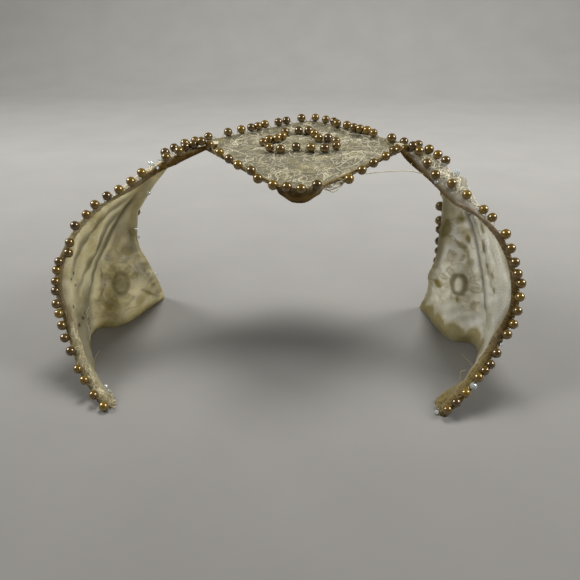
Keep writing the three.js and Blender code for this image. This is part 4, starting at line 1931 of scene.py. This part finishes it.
@dataclass
class PearlString:
    """A string of pearls on a path, where the photograph shows them or at an even pitch."""

    name: str
    node: str
    path: Array
    seat: Cloth
    seen: Pixels = ()
    hidden_from: float = 0.0
    seed: int = 0
    pitch: float = 4.3
    seat_lift: float = 1.8

    def centres(self) -> Array:
        """Place the pearls.

        Returns:
            Their centres: the seen ones, then evenly spaced ones on the rest of the path.
        """
        found = [self.seen_place(pixel) for pixel in self.seen]
        if self.hidden_from < 1:
            curve = SmoothCurve(self.path)
            draw = np.random.default_rng(self.seed)
            run = curve.length * (1 - self.hidden_from)
            count = max(2, round(run / self.pitch))
            shares = self.hidden_from + (1 - self.hidden_from) * (np.arange(count) + 0.5) / count
            shares += draw.uniform(-0.12, 0.12, count) * self.pitch / curve.length
            found.extend(curve.by_length(shares) + draw.normal(0, 0.12, (count, 3)))
        return np.array(found)

    def seen_place(self, pixel: Pair) -> Array:
        """Where a pearl at a pixel sits: on its cloth, about as deep as the nearest place of the path."""
        gaps = np.linalg.norm(VIEW.pixels(self.path) - np.array(pixel), axis=1)
        return self.seat.touching(pixel, self.path[np.argmin(gaps)], self.seat_lift)


@dataclass
class Pearls:
    """All the pearls of the crown, kept from sinking into each other."""

    rig: PearlRig
    material: Material
    diameter: float = 3.1
    closest: float = 2.9
    clear_of_floor: float = 0.1
    thread_radius: float = 0.11
    thread_start: float = 0.42
    long_stitch: float = 2.6
    placed: list[Array] = field(default_factory=list)

    def settle(self, centres: Array) -> Array:
        """Push pearls apart until no two share much room.

        Args:
            centres: where they would sit.

        Returns:
            Where they sit.
        """
        fixed = np.array(self.placed).reshape(-1, 3)
        moved = np.array(centres)
        for _ in range(40):
            for i in range(len(moved)):
                others = np.vstack([fixed, np.delete(moved, i, axis=0)])
                apart = moved[i] - others
                gaps = np.linalg.norm(apart, axis=1)
                for k in np.nonzero(gaps < self.closest)[0]:
                    moved[i] += 0.5 * (self.closest - gaps[k]) * apart[k] / max(gaps[k], 1e-6)
        moved[:, 2] = np.maximum(moved[:, 2], self.diameter / 2 + self.clear_of_floor)
        self.placed.extend(moved)
        return moved

    def sew(self, one: Array, other: Array, cloth: Cloth, sewing: Cords) -> None:
        """Lay the thread from one pearl to the next, through the cloth between them.

        Args:
            one: centre of a pearl.
            other: centre of the next.
            cloth: cloth that they are sewn to.
            sewing: thread to add to.
        """
        reach = self.thread_start * self.diameter * unit(other - one)
        if np.linalg.norm(other - one) < self.long_stitch * self.diameter:
            dips = [cloth.nearest(0.5 * (one + other))[0]]
        else:
            dips = [cloth.nearest(one + 2 * reach)[0], cloth.nearest(other - 2 * reach)[0]]
        thread = SmoothCurve([one + reach, *dips, other - reach])
        sewing.lay(thread.by_length(np.linspace(0, 1, 9)), self.thread_radius)

    def build(self, string: PearlString, sewing: Cords, closed: bool = False) -> None:
        """Make a string's pearls and its thread.

        Args:
            string: where the pearls go.
            sewing: thread to add to.
            closed: whether the string is a ring.
        """
        centres = self.settle(string.centres())
        if closed:
            after, before = np.roll(centres, -1, 0), np.roll(centres, 1, 0)
        else:
            after, before = np.vstack([centres[1:], centres[-1:]]), np.vstack([centres[:1], centres[:-1]])
        tints = np.random.default_rng(string.seed).uniform(0, 1, len(centres))
        piece = new_object(string.name, centres, marks={"axis": unit(after - before), "tint": tints})
        self.rig.run(piece, Diameter=self.diameter * MM, Spread=0.04, Hole=0.72, Segments=16, Rings=10,
                     Seed=string.seed, Material=self.material)
        enlist(piece, "pearl", string.node)
        for number in range(len(centres) - (not closed)):
            self.sew(centres[number], centres[(number + 1) % len(centres)], string.seat, sewing)


@dataclass
class Crystals:
    """Clear cut beads, sewn on where the photograph shows them."""

    rig: CrystalRig
    material: Material
    cloth_half: float = 0.2
    seat_share: float = 0.4
    pull: float = 6.0

    def build(self, name: str, spots: Spots, cloth: Cloth, seed: int) -> None:
        """Make one cloth's crystals.

        Args:
            name: name of the piece.
            spots: pixel and diameter of each.
            cloth: cloth that they are sewn to.
            seed: seed of their turns.
        """
        sizes = np.array([size for _, _, size in spots])
        stones = np.array([cloth.touching(spot, cloth.beside(spot, 0.0),
                                          self.cloth_half + self.seat_share * spot[2], self.pull)
                           for spot in spots])
        stones[:, 2] = np.maximum(stones[:, 2], sizes / 2)
        piece = new_object(name, stones, marks={"size": sizes})
        self.rig.run(piece, Diameter=MM, Facets=2, Seed=seed, Material=self.material)
        enlist(piece, None)


@dataclass
class LooseThreads:
    """Threads that have come away: at the missing pearl, across the right neck and at the cut corners."""

    seed: int = 51
    fibre: float = 0.085
    thread: float = 0.15
    left_fibres: int = 70
    right_fibres: int = 30

    def span(self, cords: Cords, start: Array, end: Array, pixels: Pixels) -> None:
        """Lay a free thread between two places, past pixels on the way.

        Args:
            cords: piece to add to.
            start: first place.
            end: last place.
            pixels: where it shows between them.
        """
        shares = np.linspace(0, 1, len(pixels) + 2)[1:-1]
        middle = [VIEW.at_depth(pixel, start + (end - start) * f) for pixel, f in zip(pixels, shares)]
        cords.lay(SmoothCurve([start, *middle, end]).by_length(np.linspace(0, 1, 24)), self.thread)

    def fray(self, cords: Cords, cloth: Cloth, spots: Spots, count: int) -> None:
        """Lay short fibres that stick out of the cloth.

        Args:
            cords: piece to add to.
            cloth: cloth that frays.
            spots: where it frays, and how far the fibres spread.
            count: fibres at each spot.
        """
        draw = np.random.default_rng(self.seed)
        forward_and_up = np.array([0, -0.3, 0.4])
        for u, v, spread in spots:
            for _ in range(count):
                root = cloth.beside((u + draw.normal(0, spread), v + draw.normal(0, spread)), 0.5)
                way = unit(draw.normal(size=3) + forward_and_up)
                bend = draw.normal(0, 0.5, 3)
                reach = draw.uniform(0.6, 1.5)
                line = np.array([root, root + 0.5 * reach * way + 0.2 * bend,
                                 root + reach * way + 0.6 * bend])
                line[:, 2] = np.maximum(line[:, 2], self.thread)
                cords.lay(SmoothCurve(line).by_length(np.linspace(0, 1, 7)), self.fibre)

    def build(self, rig: CordRig, material: Material, top: Cloth, wings: dict[Side, Cloth]) -> None:
        """Make the threads.

        Args:
            rig: tree for the cords.
            material: finish of the thread.
            top: the lozenge.
            wings: the nets.
        """
        cords = Cords("loose_threads", self.seed)
        left, right = wings[Side.LEFT], wings[Side.RIGHT]
        first, *bends, last = NECK_THREAD
        self.span(cords, top.beside(first), right.beside(last), bends)
        for side, (root, *bends, tip) in STRAY_THREADS:
            start = wings[side].beside(root)
            self.span(cords, start, VIEW.at_depth(tip, start), bends)
        self.fray(cords, left, LEFT_FRAY, self.left_fibres)
        self.fray(cords, right, RIGHT_FRAY, self.right_fibres)
        ends = [top.beside(pixel) for pixel in GAP_ENDS]
        for bends in GAP_THREADS:
            self.span(cords, *ends, bends)
        enlist(cords.build(rig, material), "lace")


class Lamp(NamedTuple):
    """A square soft lamp: its place and side in metres, its watts, and whether shiny things show it."""

    name: str
    place: Triple
    size: float
    power: float
    mirrored: bool = True


@dataclass
class Studio:
    """Pale seamless floor and soft light from both sides and above."""

    floor_colour: str = "#6f6d69"
    # Paler tone towards the back: painted light on the backdrop.
    far_light_colour: str = "#989692"
    cloud_mm: float = 40.0
    fade: Pair = (-0.12, 0.25)
    wall_at: float = 0.55
    half_size: float = 3.0
    wall_height: float = 1.6
    bend: float = 0.25
    room_colour: str = "#e6e2d6"
    room_strength: float = 0.17
    aim: Triple = (0.0, 0.0, 0.03)
    lamps: tuple[Lamp, ...] = (Lamp("lamp_left", (-0.62, -0.05, 0.54), 0.3, 4.4),
                               Lamp("lamp_right", (0.64, -0.05, 0.54), 0.3, 4.2),
                               Lamp("lamp_top", (0.05, 0.3, 0.85), 0.35, 8.0, False))

    def paper(self) -> Material:
        """Build the uncoated paper of the floor: matte, faintly cloudy, and paler towards the back as painted
        light.

        Returns:
            The material.
        """
        coat = Coat("pale_paper")
        depth = add(coat.tree, "ShaderNodeSeparateXYZ", {"Vector": coat.place}).outputs["Y"]
        near, back = self.fade
        far = add(coat.tree, "ShaderNodeMapRange", {"Value": depth, "From Min": near, "From Max": back})
        colour = coat.paint(linear(self.floor_colour), (far, linear(self.far_light_colour)))
        cloudy = coat.shade(coat.blotches(self.cloud_mm, low=0.3, high=0.7), colour, 0.94)
        return coat.close({"Base Color": cloudy, "Roughness": 0.9})

    def build(self) -> None:
        """Make the floor, lamps and surroundings."""
        cove = [(self.wall_at + self.bend * math.sin(turn), self.bend * (1 - math.cos(turn)))
                for turn in np.linspace(0, math.pi / 2, 13)]
        profile = [(-self.half_size, 0.0), *cove, (self.wall_at + self.bend, self.wall_height)]
        points = [(x / MM, y / MM, z / MM) for x in (-self.half_size, self.half_size) for y, z in profile]
        count = len(profile)
        faces = [(i, i + count, i + count + 1, i + 1) for i in range(count - 1)]
        floor = new_object("floor", np.array(points), faces=faces)
        floor.data.shade_smooth()
        floor.data.materials.append(self.paper())
        for lamp in self.lamps:
            self.hang(lamp)
        world = bpy.data.worlds.new("soft_room")
        world.use_nodes = True
        world.node_tree.nodes["Background"].inputs["Color"].default_value = linear(self.room_colour)
        world.node_tree.nodes["Background"].inputs["Strength"].default_value = self.room_strength
        bpy.context.scene.world = world
        bpy.context.scene.view_settings.view_transform = "Standard"

    def hang(self, lamp: Lamp) -> None:
        """Add a lamp that faces the crown.

        Args:
            lamp: the lamp.
        """
        data = bpy.data.lights.new(lamp.name, "AREA")
        data.size = lamp.size
        data.energy = lamp.power
        obj = bpy.data.objects.new(lamp.name, data)
        obj.location = lamp.place
        obj.visible_glossy = lamp.mirrored
        obj.rotation_euler = (Vector(self.aim) - Vector(lamp.place)).to_track_quat("-Z", "Y").to_euler()
        bpy.context.scene.collection.objects.link(obj)


# What the photograph shows, in pixels of its frame; a spot's third number is millimetres, or pixels for fray

FRONT_PEARLS: dict[Side, Pixels] = {
    Side.LEFT: (
        (201.9, 143.2), (195.3, 144.1), (187.5, 146.1), (179.2, 151), (166, 157.3), (141.6, 172.8),
        (131, 181.6), (119, 189.6), (107, 196), (95, 204.7), (86.4, 214.6), (75, 225.8), (69.6, 242.6),
        (68.3, 253), (58.8, 263), (57, 269.6), (55.7, 281.6), (55.7, 291), (56.5, 304), (59, 313.6),
        (62, 325.4), (64.7, 338), (70.6, 351), (78, 369), (84.3, 380), (93.6, 395), (104.7, 410.6)),
    Side.RIGHT: (
        (411, 147), (418.4, 150.5), (427, 163.3), (435.3, 175), (451.9, 183.4), (466.8, 194.8),
        (483.7, 209.5), (492.3, 217.5), (505.8, 234), (510.8, 248.5), (514.8, 262.5), (517.4, 274),
        (521, 283.5), (520, 297), (517.6, 311), (513.3, 324.3), (507, 334.5), (496.3, 353), (490, 364.8),
        (484, 371.4), (478.8, 376.8), (465.6, 393), (456, 402.5), (447.3, 409.7))}
BACK_PEARLS: dict[Side, Pixels] = {
    Side.LEFT: ((194.4, 137.8), (184.4, 141.5), (173.5, 146.4), (164.3, 151)),
    Side.RIGHT: ((418.4, 144.5), (429.5, 148.6), (438.8, 153.7), (446.1, 159.8))}
TOP_FRONT_PEARLS: Pixels = (
    (209.6, 144.7), (219.4, 152.5), (229, 159), (238, 165), (251, 170.5), (258, 178.5), (273, 185),
    (287, 187), (301, 189), (317, 185), (349, 179), (362, 170), (373.5, 163), (385.8, 156.3), (393.8, 150.5),
    (405, 149))
TOP_BACK_PEARLS: Pixels = (
    (207.9, 136.1), (228, 132), (241, 128), (252, 124), (257, 124), (264, 121), (278, 119.5), (286, 118),
    (301, 115), (315.5, 117), (326, 119), (334, 121), (337, 123.5), (347, 125), (354.6, 127.5), (361, 129),
    (366, 130), (373.5, 133), (391.6, 138), (407.2, 141))
RING_PEARLS: Pixels = (
    (298.7, 130.5), (308.6, 130.3), (314.2, 133.5), (318.4, 138), (328.2, 138), (335.9, 141.2),
    (336.3, 145.7), (324.7, 148.2), (310.9, 147.4), (296.2, 146.8), (280.5, 148.9), (269.6, 147.4),
    (264.1, 141.8), (268.5, 139.6), (277, 138.4), (282.6, 136.1), (285.1, 131.7))
LACE_SCROLLS: tuple[Pixels, ...] = (
    ((336, 158), (346, 155), (358, 153), (364, 156), (360, 162), (350, 168), (341, 170)),
    ((318, 176), (328, 170), (338, 168), (348, 161)), ((236, 140), (250, 133), (262, 130), (270, 128)),
    ((300, 178), (316, 176), (330, 177), (340, 173)), ((352, 148), (368, 148), (384, 148)),
    ((222, 148), (236, 152), (250, 158)), ((338, 128), (350, 134), (364, 136), (380, 140)))
LACE_LEAVES: Spots = (
    (281.5, 173.3, 1.3), (312.3, 172, 1.2), (319.7, 169, 1.5), (247, 149, 1.2), (356, 158, 1.2))
LEFT_TUCKS = (
    Tuck(1.0, ((139, 193), (121.3, 216), (108.6, 237), (99, 256), (92.6, 273.6), (87.8, 291), (83.5, 312))),
    Tuck(1.0, ((126, 207.5), (108.6, 222.6), (97.4, 246.5), (87.8, 265.7), (80.7, 281.6), (77.5, 297.5))),
    Tuck(0.9, ((135, 193), (110, 210), (92.6, 229), (79, 248), (72.7, 265.7), (70.3, 281.6))),
    Tuck(0.25, ((120, 222), (113, 245), (106, 265))))
RIGHT_TUCKS = (
    Tuck(1.0, ((463.7, 202.7), (472.3, 225.7), (479, 248.6), (482.8, 271.6), (486.2, 294.5), (490, 331))),
    Tuck(0.6, ((470, 207), (483.2, 239), (488, 260), (492, 279), (494.3, 296.5))),
    Tuck(0.4, ((480, 216), (492, 240), (498, 262), (501, 285))))
LEFT_SPECKS: Spots = (
    (71.5, 273, 0.6), (69.3, 279, 0.6), (73.2, 307, 0.7), (83, 314, 0.7), (86.5, 318, 0.8), (79, 325, 0.7),
    (88.5, 315, 0.5), (81.5, 318.5, 0.6), (75.5, 285, 0.4))
RIGHT_SPECKS: Spots = ((470.5, 213.5, 0.6), (491, 341, 0.5))
LEFT_BLOTS: Spots = ((128, 250, 2.5), (140, 300, 3.0), (112, 305, 3.0), (133, 232, 2.0))
RIGHT_BLOTS: Spots = (
    (460, 218, 2.4), (467, 234, 2.4), (439, 282, 2.2), (450, 215, 3.0), (445, 240, 2.5), (470, 262, 1.6),
    (458, 300, 1.5))
# Pale spots on the nets: lace petals, and painted light where the net shows bright against the light.
LEFT_LIGHTS: Spots = (
    (122, 232, 3.0), (118, 222, 2.4), (131, 247, 3.0), (137, 266, 3.0), (107, 257, 2.2), (125, 258, 2.4),
    (136, 280, 2.6), (104, 282, 2.5), (118, 240, 1.6))
RIGHT_LIGHTS: Spots = (
    (462, 230, 2.0), (450, 262, 2.4), (473, 305, 3.0), (440, 300, 2.2), (468, 252, 2.0), (459, 206, 2.2))
LEFT_LEAVES = (
    Motif(0.7, ((100, 268), (103, 284), (100, 300))),
    Motif(0.7, ((140, 288), (150, 293), (158, 296))))
LEFT_CURLS = (
    Motif(0.6, ((105.2, 254.4), (108.2, 258.4), (113.2, 256.4))),
    Motif(0.7, ((125, 242.6), (124, 256.4), (127, 262.3))),
    Motif(0.7, ((134.9, 264.3), (140.8, 270.3), (144.8, 278.2))),
    Motif(0.6, ((102, 290), (108, 301), (117, 304))))
RIGHT_LEAVES = (
    Motif(0.9, ((456.6, 218.4), (465.4, 218.4))),
    Motif(0.7, ((454.5, 239), (459, 244), (465, 248.6), (468.8, 260))),
    Motif(0.7, ((466.9, 233.3), (469.2, 242.8))),
    Motif(2.0, ((446.9, 219.9), (445.9, 229.4), (443, 237))),
    Motif(0.5, ((457.4, 296.4), (457.4, 303))),
    Motif(1.4, ((438.2, 278), (438.2, 287))),
    Motif(0.45, ((482.2, 221.8), (484.1, 233.3))),
    Motif(0.5, ((484.1, 239), (486.1, 252.4))),
    Motif(0.5, ((488.4, 262), (489.5, 267.7))),
    Motif(0.45, ((493.1, 272.5), (494.7, 278.2))),
    Motif(0.45, ((494.7, 286.8), (495.6, 294.5))))
RIGHT_CURLS = (
    Motif(0.9, ((459, 206), (462, 211))),
    Motif(1.1, ((458, 227), (463, 231))),
    Motif(0.9, ((450, 250), (452, 262))),
    Motif(0.5, ((472, 212), (478, 232), (484, 252), (487, 275))),
    Motif(1.0, ((472, 300), (474, 310))),
    Motif(0.9, ((440, 296), (444, 304))))
CRYSTALS: dict[Side, Spots] = {
    Side.LEFT: (
        (150, 161.8, 2.0), (158.2, 157, 1.4), (157.4, 168, 1.2), (148.8, 193, 1.4), (136, 229, 1.1),
        (138.5, 237, 1.1), (158, 273, 1.0), (107.7, 385, 1.4), (110.5, 390, 1.2)),
    Side.RIGHT: (
        (457.9, 170.9, 2.2), (445, 164, 1.6), (436.2, 181.8, 1.3), (473.6, 386, 2.3), (436, 415, 1.4),
        (502.6, 345, 1.3))}
NECK_THREAD: Pixels = ((365.4, 173.8), (386, 171.6), (410, 171), (431, 176))
STRAY_THREADS: tuple[tuple[Side, Pixels], ...] = (
    (Side.RIGHT, ((474, 368), (467.5, 360.5), (461.7, 353.8))),
    (Side.RIGHT, ((462, 383), (460.6, 379), (461, 372), (466, 370))),
    (Side.LEFT, ((92.5, 367), (95, 358.5), (99.2, 350))))
GAP_ENDS: Pixels = ((320, 185.5), (346, 179.5))
GAP_THREADS: tuple[Pixels, ...] = (
    ((327, 190), (338, 187)), ((329, 182), (339, 179)), ((324, 187), (333, 192), (343, 184)),
    ((331, 186), (325, 181), (340, 184)), ((326, 187.5), (333, 185.5), (341, 182)),
    ((323, 184), (330, 188), (336, 183), (343, 182.5)), ((327, 185), (335, 187.5), (340, 181)))
LEFT_FRAY: Spots = ((113, 398, 3.5), (110, 404, 3.0), (115, 403, 3.0))
RIGHT_FRAY: Spots = ((440, 404, 3.0), (438, 411, 3.0), (418, 160, 4.0), (462, 180, 3.0))


def net_wings() -> tuple[NetWing, NetWing]:
    """The two wings, each with the sag, wear and pattern that the photograph shows.

    Returns:
        The left wing and the right wing.
    """
    left = NetWing(
        side=Side.LEFT, finish=NetFinish("#fcf6da", "#dcd3aa", glow=0.58), sag=0.0, bow=5.0, shoulder=1.2,
        front_end=Row(50, -42.8, 0), end_turn=(4.4, -3.5, 0.2), front_reach=(1.0, 3.2, 2.3, 1.3),
        back_reach=(0.0, 1.6, 3.0, 2.4, 1.8, 0.8), back_tuck=3.0, lip_share=0.28,
        lip_tones=(1.0, 0.25, 0.35, 0.65, 0.55), strip_tone=0.2, back_tone=0.15, scallop=0.0, ring=(121, 283),
        ring_tone=(0.5, 0.35), raised=1, tucks=LEFT_TUCKS, specks=LEFT_SPECKS, blots=LEFT_BLOTS,
        lights=LEFT_LIGHTS, leaves=LEFT_LEAVES, curls=LEFT_CURLS, seed=21)
    right = NetWing(
        side=Side.RIGHT, finish=NetFinish("#f8f8f2", "#d9d6c4", see_through=0.75, glow=0.6), sag=2.0, bow=2.0,
        shoulder=2.2, front_end=Row(54, -39.5, 0), end_turn=(3.6, 0.6, 1.1), front_reach=(0.6, 4.2, 2.3, 0.5),
        back_reach=(0.0, -1.2, -0.6, 0.2, 0.9, -1.5), back_tuck=1.4, lip_share=0.32,
        lip_tones=(1.0, 0.7, 0.8, 0.95, 0.9), strip_tone=0.8, back_tone=0.7, scallop=1.0, ring=(458.7, 284),
        ring_tone=(0.85, 0.0), raised=-1, tucks=RIGHT_TUCKS, specks=RIGHT_SPECKS, blots=RIGHT_BLOTS,
        lights=RIGHT_LIGHTS, leaves=RIGHT_LEAVES, curls=RIGHT_CURLS, seed=31)
    return left, right


def main() -> None:
    """Build the crown piece by piece and report each one."""
    logging.basicConfig(level=logging.INFO, format="%(name)s: %(message)s")
    VIEW.build()
    Studio().build()
    cord_rig = CordRig()
    pearls = Pearls(PearlRig(), PearlFinish().material())
    crystals = Crystals(CrystalRig(), CrystalFinish().material())
    thread = CordFinish("gold_sewing_thread", "#7d6a3e", "#b39c66").material()
    lace_cord = CordFinish("cream_gimp_cord", "#c3b68c", "#ece5cd").material()
    fray = CordFinish("frayed_cotton", "#8d7c4e", "#ded5b4").material()
    all_seen, all_even = 1.0, 0.0
    seen_back = 0.27

    diamond = LaceDiamond()
    top = diamond.build(cord_rig)
    sewing = Cords("sewing_top", 5)
    strings = (("top_front", "front", diamond.pearl_path(Edge.FRONT), TOP_FRONT_PEARLS),
               ("top_back", "back", diamond.pearl_path(Edge.BACK), TOP_BACK_PEARLS),
               ("ring", "ring", diamond.ring_path(), RING_PEARLS))
    for seed, (name, node, path, seen) in enumerate(strings, 1):
        string = PearlString(f"pearls_{name}", f"beads_diamond_{node}", path, top, seen, all_seen, seed)
        pearls.build(string, sewing, closed=name == "ring")
    enlist(sewing.build(cord_rig, thread), "lace")

    cloths = {}
    for wing in net_wings():
        side, word = wing.side, wing.side.word
        cloth = cloths[side] = wing.build(cord_rig, lace_cord)
        sewing = Cords(f"sewing_{word}", wing.seed)
        strings = (("front", wing.front_path(), FRONT_PEARLS[side], all_seen),
                   ("back", wing.back_path(cloth), BACK_PEARLS[side], seen_back),
                   ("hem", wing.hem_path(cloth), (), all_even))
        for seed, (place, path, seen, hidden_from) in enumerate(strings, wing.seed + 1):
            string = PearlString(f"pearls_{place}_{word}", f"beads_{place}_{word}", path, cloth, seen,
                                 hidden_from, seed)
            pearls.build(string, sewing)
        wing.whip(cloth, sewing)
        enlist(sewing.build(cord_rig, thread), "lace")
        crystals.build(f"crystals_{word}", CRYSTALS[side], cloth, wing.seed)
    LooseThreads().build(cord_rig, fray, top, cloths)


if __name__ == "__main__":
    main()
